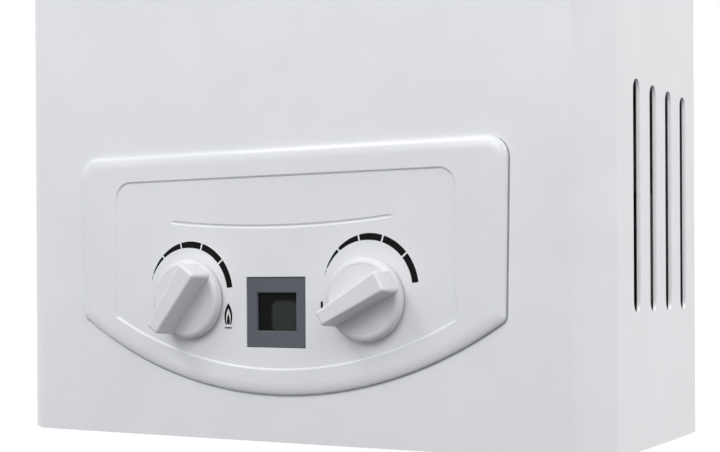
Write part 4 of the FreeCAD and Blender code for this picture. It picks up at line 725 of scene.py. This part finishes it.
# two knobs: a dished disc with a hollow back and a tapered finger ridge that points to the mark
knobSizes = {
    "back": -53.3, "x": 45.0, "z": 61.5, "radius": 17.5, "base": 4.5, "rim": 2.2, "lip": 15.0,
    "floor": 4.4, "hollow": 15.7, "hollowDeep": 2.2, "hub": 5.5, "bore": 3.05, "boreDeep": 10.0,
    "reach": 17.2, "tip": 8.4, "tail": 11.4, "taper": 4.0, "tipRound": 1.6, "tailRound": 2.2,
    "crest": 1.1, "high": 15.6, "post": 3.6,
    "knobs": {"gas": (-1, 234.0, "gas_control", "gas_knob"),
              "water": (1, 209.0, "water_control", "water_knob")},
}


def makeKnob(name, side, pointer, body, node):
    s = knobSizes
    mesh = bmesh.new()
    along = Vector((math.cos(math.radians(pointer)), 0, math.sin(math.radians(pointer))))
    across = Vector((-along.z, 0, along.x))
    middle = Vector((side * s["x"], s["back"], s["z"]))

    def place(u, v, w):
        return middle + along * u + across * v + Vector((0, -w, 0))

    profile = roundedProfile([
        (0, s["boreDeep"]), (s["bore"], s["boreDeep"]), (s["bore"], 0), (s["hub"], 0),
        (s["hub"], s["hollowDeep"]), (s["hollow"], s["hollowDeep"]), (s["hollow"], 0),
        (s["radius"], 0), (s["radius"], s["base"]), (s["lip"], s["base"]),
        (s["lip"] - 0.3, s["floor"]), (s["post"], s["floor"]), (s["post"], s["boreDeep"] + 0.5),
        (0, s["boreDeep"] + 0.5)],
        [0, 0, 0.2, 0.2, 0.5, 0.5, 0.2, 0.4, s["rim"], 0.12, 0.12, 0, 0, 0])
    addLathe(mesh, profile, place, 96)
    levels = [(s["floor"] - 0.5, 0.0), (s["high"] - s["crest"], 0.0)]
    for step in range(1, 6):
        angle = math.radians(90 * step / 5)
        levels.append((s["high"] - s["crest"] * (1 - math.sin(angle)),
                       s["crest"] * (1 - math.cos(angle))))
    rings = []
    for level, inset in levels:
        drawn = math.tan(math.radians(s["taper"])) * level
        points = [(-s["reach"], -s["tail"] / 2), (s["reach"], -s["tip"] / 2),
                  (s["reach"], s["tip"] / 2), (-s["reach"], s["tail"] / 2)]
        tip, tail = (max(0.5, s[k] - drawn - inset) for k in ("tipRound", "tailRound"))
        outline = roundCorners(offsetLine(points, drawn + inset), [tail, tip, tip, tail], 7)
        rings.append(addLoop(mesh, outline, lambda p: place(p[0], p[1], level)))
    addSkin(mesh, rings)
    mesh.faces.new(rings[0])
    mesh.faces.new(rings[-1])
    finishPiece(name + "KnobMoulding", mesh, "knob_plastic", [node], body=body, sharp=35.0)


for knobName, (side, pointer, knobBody, knobNode) in knobSizes["knobs"].items():
    makeKnob(knobName, side, pointer, knobBody, knobNode)
print("stage: knobs")


# display bezel: a nose through the panel, a rim plate behind it and a chamfered window
bezelSizes = {
    "front": -52.2, "step": -51.1, "behind": -43.1, "floor": -49.7,
    "noseHalf": 14.9, "noseLow": 40.9, "noseHigh": 71.1, "cornerRound": 0.9, "edge": 0.25,
    "rimHalf": 16.9, "rimLow": 38.9, "rimHigh": 73.1, "wall": 1.6,
    "windowHalf": 9.8, "windowLow": 48.0, "windowHigh": 64.3, "chamfer": 0.45,
    "rimRound": 1.0, "hollowRound": 2.0, "windowRound": 0.25, "edgeRound": 0.07,
}


def makeBezel():
    s = bezelSizes
    mesh = bmesh.new()

    def addRings(shape, corner, rows):  # rows of (grow, level)
        half, low, high = s[shape + "Half"], s[shape + "Low"], s[shape + "High"]
        rings = [addLoop(mesh, boxPoints(-half - grow, half + grow, low - grow, high + grow,
                                         max(0.05, corner + grow), 4), atDepth(level))
                 for grow, level in rows]
        addSkin(mesh, rings)
        return rings

    nose = addRings("nose", s["cornerRound"], (
        (-s["edge"], s["front"]), (-s["edgeRound"], s["front"] + s["edgeRound"]),
        (0, s["front"] + s["edge"]), (0, s["step"])))
    rim = addRings("rim", s["rimRound"], ((0, s["step"]), (0, s["behind"])))
    hollow = addRings("rim", s["hollowRound"], ((-s["wall"], s["behind"]),
                                                (-s["wall"], s["floor"])))
    window = addRings("window", s["windowRound"], (
        (0, s["floor"]), (0, s["front"] + s["chamfer"]), (s["chamfer"], s["front"])))
    fillFlat(mesh, [nose[0], window[-1]], (0, -1, 0))
    fillFlat(mesh, [nose[-1], rim[0]], (0, -1, 0))
    fillFlat(mesh, [rim[-1], hollow[0]], (0, 1, 0))
    fillFlat(mesh, [hollow[-1], window[0]], (0, 1, 0))
    finishPiece("displayBezel", mesh, "grey_plastic", ["display_frame"])


makeBezel()


# printed marks on the panel: a swelling arc of six bars over each knob, a flame and a tick
markSizes = {
    "plane": -52.7, "thick": 0.035, "sunk": 0.02, "radius": 21.8, "wide": 2.9,
    "dials": {"gasDial": (-45.5, 64.0), "waterDial": (45.6, 65.8)},
    "thinEnd": 165.0, "swell": 75.0, "power": 0.9,
    "bars": [(165, 158), (156, 132), (130, 103), (101, 73.5), (71.5, 41), (39, 7)],
    "flame": (-24.6, 50.4), "flameSize": (2.1, 9.4), "bar": (1.85, 0.55), "barGap": 1.1,
    "tick": (23.1, 59.2), "tickSize": (0.55, 3.2),
}


def printShape(mesh, points):
    s = markSizes
    top = addLoop(mesh, points, atDepth(s["plane"] - s["thick"]))
    foot = addLoop(mesh, points, atDepth(s["plane"] + s["sunk"]))
    addStrip(mesh, foot, top)
    fillFlat(mesh, [top], (0, -1, 0))
    fillFlat(mesh, [foot], (0, 1, 0))


def finishMark(name, mesh):
    finishPiece(name, mesh, "black_plastic", finish="printInk", weighted=False)


def makeMarks():
    s = markSizes
    for name, (x, z) in s["dials"].items():
        mesh = bmesh.new()
        for first, last in s["bars"]:
            inner, outer = [], []
            steps = max(4, int((first - last) / 2))
            for step in range(steps + 1):
                angle = first + (last - first) * step / steps
                share = min(1.0, max(0.02, (s["thinEnd"] - angle) / s["swell"]))
                wide = s["wide"] * share ** s["power"]
                turn = math.radians(angle)
                for line, radius in ((inner, s["radius"] - wide / 2),
                                     (outer, s["radius"] + wide / 2)):
                    line.append((x + radius * math.cos(turn), z + radius * math.sin(turn)))
            printShape(mesh, outer + inner[::-1])
        finishMark(name + "Bars", mesh)
    mesh = bmesh.new()
    x, z = s["flame"]
    half, high = s["flameSize"]

    def drawn(points):  # shares of the half width and of the height, mirrored
        left = [(-p, q) for p, q in reversed(points) if p > 0]
        return [(x + p * half, z + q * high) for p, q in points + left]

    outside = [(0.66, 0.0), (0.86, 0.12), (0.98, 0.28), (1.0, 0.42), (0.9, 0.58), (0.66, 0.75),
               (0.34, 0.9), (0, 1.0)]
    inside = [(0.44, 0.0), (0.52, 0.14), (0.58, 0.28), (0.56, 0.42), (0.42, 0.56), (0.2, 0.68),
              (0, 0.76)]
    printShape(mesh, drawn(outside) + drawn(inside)[::-1])
    printShape(mesh, drawn([(0.34, 0.02), (0.38, 0.16), (0.3, 0.32), (0.14, 0.44), (0, 0.5)]))
    wide, thick = s["bar"]
    top = z - s["barGap"]
    printShape(mesh, boxPoints(x - wide, x + wide, top - thick, top, 0.2))
    finishMark("flameMark", mesh)
    mesh = bmesh.new()
    x, z = s["tick"]
    wide, high = s["tickSize"]
    printShape(mesh, boxPoints(x - wide, x + wide, z - high / 2, z + high / 2, 0.5))
    finishMark("waterTick", mesh)


makeMarks()
print("stage: display bezel and printed marks")


# threaded unions: a screwed spigot, a chamfered hexagon and a neck, all on one bore
unionSizes = {
    "y": 8.9, "foot": 15.0, "threadTop": 33.0, "hexTop": 42.0, "neckTop": 46.0,
    "mouth": 0.5, "threadDepth": 0.6, "leadLong": 1.6, "leadSlope": 0.8, "hexCorner": 1.12,
    "hexCircle": 0.985, "hexSlope": 0.55,
    "coldWater": {"x": 45.0, "radius": 10.4775, "pitch": 1.814, "flats": 27.0, "neck": 9.0,
                  "bore": 7.0, "node": "water_inlet_fitting"},
    "hotWater": {"x": -115.5, "radius": 10.4775, "pitch": 1.814, "flats": 27.0, "neck": 7.94,
                 "bore": 7.0, "node": "water_outlet_fitting"},
    "gasFeed": {"x": -45.0, "radius": 7.9375, "pitch": 1.411, "flats": 19.0, "neck": 7.94,
                "bore": 4.5, "node": "gas_inlet_fitting"},
}


def makeUnion(name, steps=60):
    s = unionSizes
    own = s[name]
    mesh = bmesh.new()
    rows = [[(own["bore"], s["neckTop"])] * steps,
            [(own["bore"], s["foot"] + s["mouth"])] * steps,
            [(own["bore"] + s["mouth"], s["foot"])] * steps]
    depth = s["threadDepth"] * own["pitch"]
    count = int((s["threadTop"] - s["foot"]) / own["pitch"] * 5)
    for number in range(count + 1):  # the crest climbs one pitch a turn
        level = s["foot"] + (s["threadTop"] - s["foot"]) * number / count
        row = []
        for step in range(steps):
            wave = ((level - s["foot"]) / own["pitch"] - step / steps) % 1.0
            cut = depth * min(1.0, max(0.0, 2.6 * abs(wave - 0.5) - 0.15))
            lead = s["leadSlope"] * max(0.0, s["leadLong"] - (level - s["foot"]))
            row.append((own["radius"] - max(cut, lead), level))
        rows.append(row)
    half = own["flats"] / 2
    turns = [math.radians((360 * step / steps) % 60 - 30) for step in range(steps)]
    hexRow = [min(half / math.cos(turn), half * s["hexCorner"]) for turn in turns]
    circle = half * s["hexCircle"]
    rows += [[(circle, s["threadTop"])] * steps,
             [(r, s["threadTop"] + s["hexSlope"] * (r - circle)) for r in hexRow],
             [(r, s["hexTop"] - s["hexSlope"] * (r - circle)) for r in hexRow],
             [(circle, s["hexTop"])] * steps, [(own["neck"], s["hexTop"])] * steps,
             [(own["neck"], s["neckTop"])] * steps]
    loops = []
    for row in rows:
        loops.append([mesh.verts.new((own["x"] + r * math.cos(2 * math.pi * k / steps),
                                      s["y"] + r * math.sin(2 * math.pi * k / steps), z))
                      for k, (r, z) in enumerate(row)])
    addSkin(mesh, loops + loops[:1])
    finishPiece(name + "Union", mesh, "brass", [own["node"]], sharp=30.0)


for unionName in ("coldWater", "hotWater", "gasFeed"):
    makeUnion(unionName)
print("stage: threaded unions")


# two small node trees repeat a pattern object: along a straight row, and round a ring
def startTree(name, count, sockets):
    tree = bpy.data.node_groups.new(name, "GeometryNodeTree")
    tree.interface.new_socket("Geometry", in_out="INPUT", socket_type="NodeSocketGeometry")
    ids = {}
    for label, kind in [("Pattern", "Object"), ("Count", "Int"), *sockets, ("Finish", "Material")]:
        socket = tree.interface.new_socket(label, in_out="INPUT", socket_type="NodeSocket" + kind)
        ids[label] = socket.identifier
        if label == "Count":
            socket.default_value = count
    tree.interface.new_socket("Geometry", in_out="OUTPUT", socket_type="NodeSocketGeometry")
    return tree, ids, tree.nodes.new("NodeGroupInput").outputs


def addCopies(tree, entry, points, turn):
    shape = addNode(tree, "GeometryNodeObjectInfo", {"transform_space": "ORIGINAL"},
                    {"Object": entry["Pattern"]})
    return addNode(tree, "GeometryNodeInstanceOnPoints",
                   links={"Points": points, "Instance": shape.outputs["Geometry"],
                          "Rotation": turn}).outputs[0]


def closeTree(tree, source, entry):
    real = addNode(tree, "GeometryNodeRealizeInstances", links={0: source})
    dressed = addNode(tree, "GeometryNodeSetMaterial",
                      links={"Geometry": real.outputs[0], "Material": entry["Finish"]})
    addNode(tree, "NodeGroupOutput", links={0: dressed.outputs[0]})


def makeRowTree():
    tree, ids, entry = startTree("rowOfCopies", 2, [("Start", "Vector"), ("Step", "Vector"),
                                                    ("Turn", "Rotation")])
    line = addNode(tree, "GeometryNodeMeshLine", {"mode": "OFFSET"},
                   {"Count": entry["Count"], "Start Location": entry["Start"],
                    "Offset": entry["Step"]})
    closeTree(tree, addCopies(tree, entry, line.outputs[0], entry["Turn"]), entry)
    return tree, ids


def makeRingTree():
    tree, ids, entry = startTree("ringOfCopies", 12, [("Radius", "Float"), ("Centre", "Vector")])
    ring = addNode(tree, "GeometryNodeMeshCircle",
                   links={"Vertices": entry["Count"], "Radius": entry["Radius"]})
    place = addNode(tree, "GeometryNodeInputPosition")
    outward = addNode(tree, "FunctionNodeAlignRotationToVector", {"axis": "X"},
                      {"Vector": place.outputs[0]})
    copies = addCopies(tree, entry, ring.outputs[0], outward.outputs[0])
    moved = addNode(tree, "GeometryNodeTransform",
                    links={"Geometry": copies, "Translation": entry["Centre"]})
    closeTree(tree, moved.outputs[0], entry)
    return tree, ids


rowTree = makeRowTree()
ringTree = makeRingTree()


def makePattern(name, mesh):  # a mesh in mm that the trees copy, deleted at the end
    bmesh.ops.remove_doubles(mesh, verts=mesh.verts, dist=1e-4)
    bmesh.ops.recalc_face_normals(mesh, faces=mesh.faces)
    bmesh.ops.scale(mesh, vec=(0.001, 0.001, 0.001), verts=mesh.verts)
    return meshObject(name, mesh)


def growTree(name, treeAndIds, values):  # runs a tree once and returns its plain mesh
    tree, ids = treeAndIds
    holder = addObject(name, bpy.data.meshes.new(name))
    step = holder.modifiers.new("copies", "NODES")
    step.node_group = tree
    for label, value in values.items():
        step[ids[label]] = value
    bakePiece(holder)
    data = holder.data
    bpy.data.objects.remove(holder)
    return data


def joinMeshes(name, parts, slot, replaced, **looks):
    mesh = bmesh.new()
    for data in parts:
        mesh.from_mesh(data)
        bpy.data.meshes.remove(data)
    dressPiece(meshObject(name, mesh), slot, replaced, **looks)


# A core with copies of one rib, which a tree sets out.
def joinRibs(name, core, rib, treeAndIds, values, slot, replaced, finish, **looks):
    core, pattern = makePattern(name + "Core", core), makePattern(name + "Rib", rib)
    ribs = growTree(name + "Ribs", treeAndIds,
                    {"Pattern": pattern, "Finish": finishes[finish], **values})
    joinMeshes(name, [core.data.copy(), ribs], slot, replaced, finish=finish, **looks)
    dropPattern(pattern)
    dropPattern(core)


def dropPattern(pattern):
    data = pattern.data
    bpy.data.objects.remove(pattern)
    bpy.data.meshes.remove(data)


# pan head screws with a cross recess, in rows of two
screwSizes = {
    "head": 3.6, "high": 1.8, "flat": 2.5, "shank": 2.0, "long": 8.0, "crossLong": 1.9,
    "crossWide": 0.45, "crossDeep": 1.1,
    "sides": [((147.5, 61.9, 215.0), 90.0), ((-147.5, 61.9, 215.0), -90.0)], "sideStep": 165.0,
    "tops": [((-82.0, -5.6, 400.8), 164.0), ((-82.0, 29.4, 400.8), 164.0),
             ((-121.0, 18.9, 402.0), 242.0)],
}


def screwPattern():
    s = screwSizes
    mesh = bmesh.new()
    steps = 32
    profile = roundedProfile([(0, -s["long"]), (s["shank"], -s["long"]), (s["shank"], 0),
                              (s["head"], 0), (s["head"], s["high"]), (s["flat"], s["high"])],
                             [0, 0.6, 0, 0.15, 1.0, 0], 4)
    rings = []
    for radius, along in profile[1:]:
        rings.append(addLoop(mesh, circlePoints((0, 0), radius, steps),
                             lambda p: (p[0], p[1], along)))
    addSkin(mesh, rings)
    mesh.faces.new(rings[0])
    a, b = s["crossLong"], s["crossWide"]
    cross = [(a, -b), (a, b), (b, b), (b, a), (-b, a), (-b, b), (-a, b), (-a, -b), (-b, -b),
             (-b, -a), (b, -a), (b, -b)]
    edge = addLoop(mesh, cross, lambda p: (p[0], p[1], s["high"]))
    floor = addLoop(mesh, cross, lambda p: (p[0] * 0.8, p[1] * 0.8, s["high"] - s["crossDeep"]))
    addStrip(mesh, edge, floor)
    fillFlat(mesh, [floor], (0, 0, 1))
    fillFlat(mesh, [rings[-1], edge], (0, 0, 1))
    return makePattern("screwPattern", mesh)


def makeScrews():
    s = screwSizes
    pattern = screwPattern()
    sides = [(start, (0.0, 0.0, s["sideStep"]), lean) for start, lean in s["sides"]]
    tops = [(start, (apart, 0.0, 0.0), 0.0) for start, apart in s["tops"]]
    for name, rows, node in (("coverScrewHeads", sides, "cover_screws"),
                             ("topScrewHeads", tops, "top_screws")):
        parts = [growTree(name, rowTree, {
            "Pattern": pattern, "Count": 2, "Start": [v / 1000 for v in start],
            "Step": [v / 1000 for v in apart], "Turn": (0.0, math.radians(lean), 0.0),
            "Finish": finishes["screw_steel"]}) for start, apart, lean in rows]
        joinMeshes(name, parts, "screw_steel", [node])
    dropPattern(pattern)


makeScrews()
print("stage: screws")


# grip sleeve on the carrying handle: a rounded core with a row of soft ribs
gripSizes = {"half": 60.0, "y": -41.1, "z": 409.0, "core": 7.4, "bore": 4.05, "rib": 8.5,
             "collar": 8.5, "collarLong": 5.0, "count": 25, "pitch": 4.0, "ribWide": 2.6}


def makeGrip():
    s = gripSizes

    def place(u, v, w):
        return (w, s["y"] + u, s["z"] + v)

    half, long = s["half"], s["collarLong"]
    core = bmesh.new()
    profile = roundedProfile([
        (s["bore"], -half), (s["collar"], -half), (s["collar"], -half + long),
        (s["core"], -half + long), (s["core"], half - long), (s["collar"], half - long),
        (s["collar"], half), (s["bore"], half), (s["bore"], -half)],
        [0, 1.4, 0.6, 0.5, 0.5, 0.6, 1.4, 0.4, 0])
    addLathe(core, profile, place, 40)
    rib = bmesh.new()
    wide, root = s["ribWide"] / 2, s["core"] - 0.6
    ring = roundedProfile([(root, -wide), (s["core"], -wide), (s["rib"], -wide * 0.55),
                           (s["rib"], wide * 0.55), (s["core"], wide), (root, wide),
                           (root, -wide)], [0, 0.2, 0.5, 0.5, 0.2, 0, 0], 3)
    addLathe(rib, ring, lambda u, v, w: (w, u, v), 40)
    first = -s["pitch"] * (s["count"] - 1) / 2
    joinRibs("gripSleeve", core, rib, rowTree, {
        "Count": s["count"], "Start": (first / 1000, s["y"] / 1000, s["z"] / 1000),
        "Step": (s["pitch"] / 1000, 0.0, 0.0), "Turn": (0.0, 0.0, 0.0)},
        "black_plastic", ["handle_grip"], "gripPvc", body="handle", sharp=50.0)


makeGrip()
print("stage: handle grip")


# drain plug: a turned nylon head whose rim has a ring of upright ribs
plugSizes = {"x": 55.0, "y": -13.1, "foot": 23.5, "top": 37.5, "stemTop": 46.0, "head": 7.5,
             "rib": 8.0, "ribHalf": 0.42, "count": 28, "stem": 4.9}


def makePlug():
    s = plugSizes
    core, rib = bmesh.new(), bmesh.new()

    def place(u, v, w):
        return (s["x"] + u, s["y"] + v, w)

    profile = roundedProfile([
        (0, s["foot"] + 0.9), (4.6, s["foot"] + 0.9), (5.0, s["foot"]), (s["head"], s["foot"]),
        (s["head"], s["top"]), (s["stem"], s["top"]), (s["stem"], s["stemTop"]),
        (0, s["stemTop"])],
        [0, 0.3, 0.3, 0.9, 0.5, 0.2, 0.5, 0])
    addLathe(core, profile, place, 56)
    low, high = s["foot"] + 1.2, s["top"] - 0.8
    depth = s["rib"] - s["head"]
    loops = []
    for level, out in ((low, 0.0), (low + 0.8, 1.0), (high - 0.5, 1.0), (high, 0.0)):
        loops.append([rib.verts.new((x, y, level)) for x, y in (
            (-0.5, -s["ribHalf"]), (depth * out, -s["ribHalf"] * 0.5),
            (depth * out, s["ribHalf"] * 0.5), (-0.5, s["ribHalf"]))])
    addSkin(rib, loops)
    rib.faces.new(loops[0])
    rib.faces.new(loops[-1])
    joinRibs("drainPlugHead", core, rib, ringTree, {
        "Count": s["count"], "Radius": s["head"] / 1000,
        "Centre": (s["x"] / 1000, s["y"] / 1000, 0.0)},
        "black_plastic", ["drain_plug"], "black_plastic", sharp=40.0)


makePlug()
print("stage: drain plug")


# Other nodes keep their form. A merged copy takes each one's place, with its hard edges eased
# by the radius that its sheet, casting or moulding has, in mm.
easedEdges = {
    "rain_cap": 0.9, "back_plate": 0.3, "bottom_plate": 0.3, "handle_brackets": 0.5,
    "hinge_tabs": 0.3, "flue_collector": 0.3, "burner_supports": 0.3, "valve_bracket": 0.4,
    "gas_valve_body": 1.0, "gas_solenoid": 0.8, "water_valve_body": 1.0, "diaphragm_cover": 0.8,
    "battery_box": 0.5, "battery_door": 0.4, "ignition_controller": 1.0, "tilt_switch": 0.8,
    "microswitch": 0.3, "gas_manifold": 0.5, "pipe_nuts": 0.6, "overheat_thermostat": 0.4,
    "battery_cells": 0.5, "carry_handle": 0.0, "inlet_pipe": 0.0, "outlet_pipe": 0.0,
    "gas_riser": 0.4, "exchanger_tube": 0.0, "gas_spindle": 0.3, "water_spindle": 0.3,
    "electrode_sleeves": 0.2, "burner_frame": 0.2, "burner_bars": 0.2, "combustion_chamber": 0.3,
}


def easeNode(name, radius):
    mesh = bmesh.new()
    mesh.from_mesh(nodes[name].data)
    bmesh.ops.remove_doubles(mesh, verts=mesh.verts, dist=2e-6)
    bmesh.ops.dissolve_limit(mesh, angle_limit=math.radians(0.6), verts=mesh.verts,
                             edges=mesh.edges)
    words = name.split("_")
    title = words[0] + "".join(word.capitalize() for word in words[1:]) + "Eased"
    piece = meshObject(title, mesh)
    if radius > 0:
        edge = piece.modifiers.new("edge", "BEVEL")
        edge.width = radius / 1000
        edge.segments = 2
        edge.limit_method = "ANGLE"
        edge.angle_limit = math.radians(50)
        edge.use_clamp_overlap = True
        bakePiece(piece)
    dressPiece(piece, slotOf[name], [name], body=bodyOf[name], sharp=40.0)


for nodeName, edgeRadius in easedEdges.items():
    easeNode(nodeName, edgeRadius)
print("stage: eased edges")
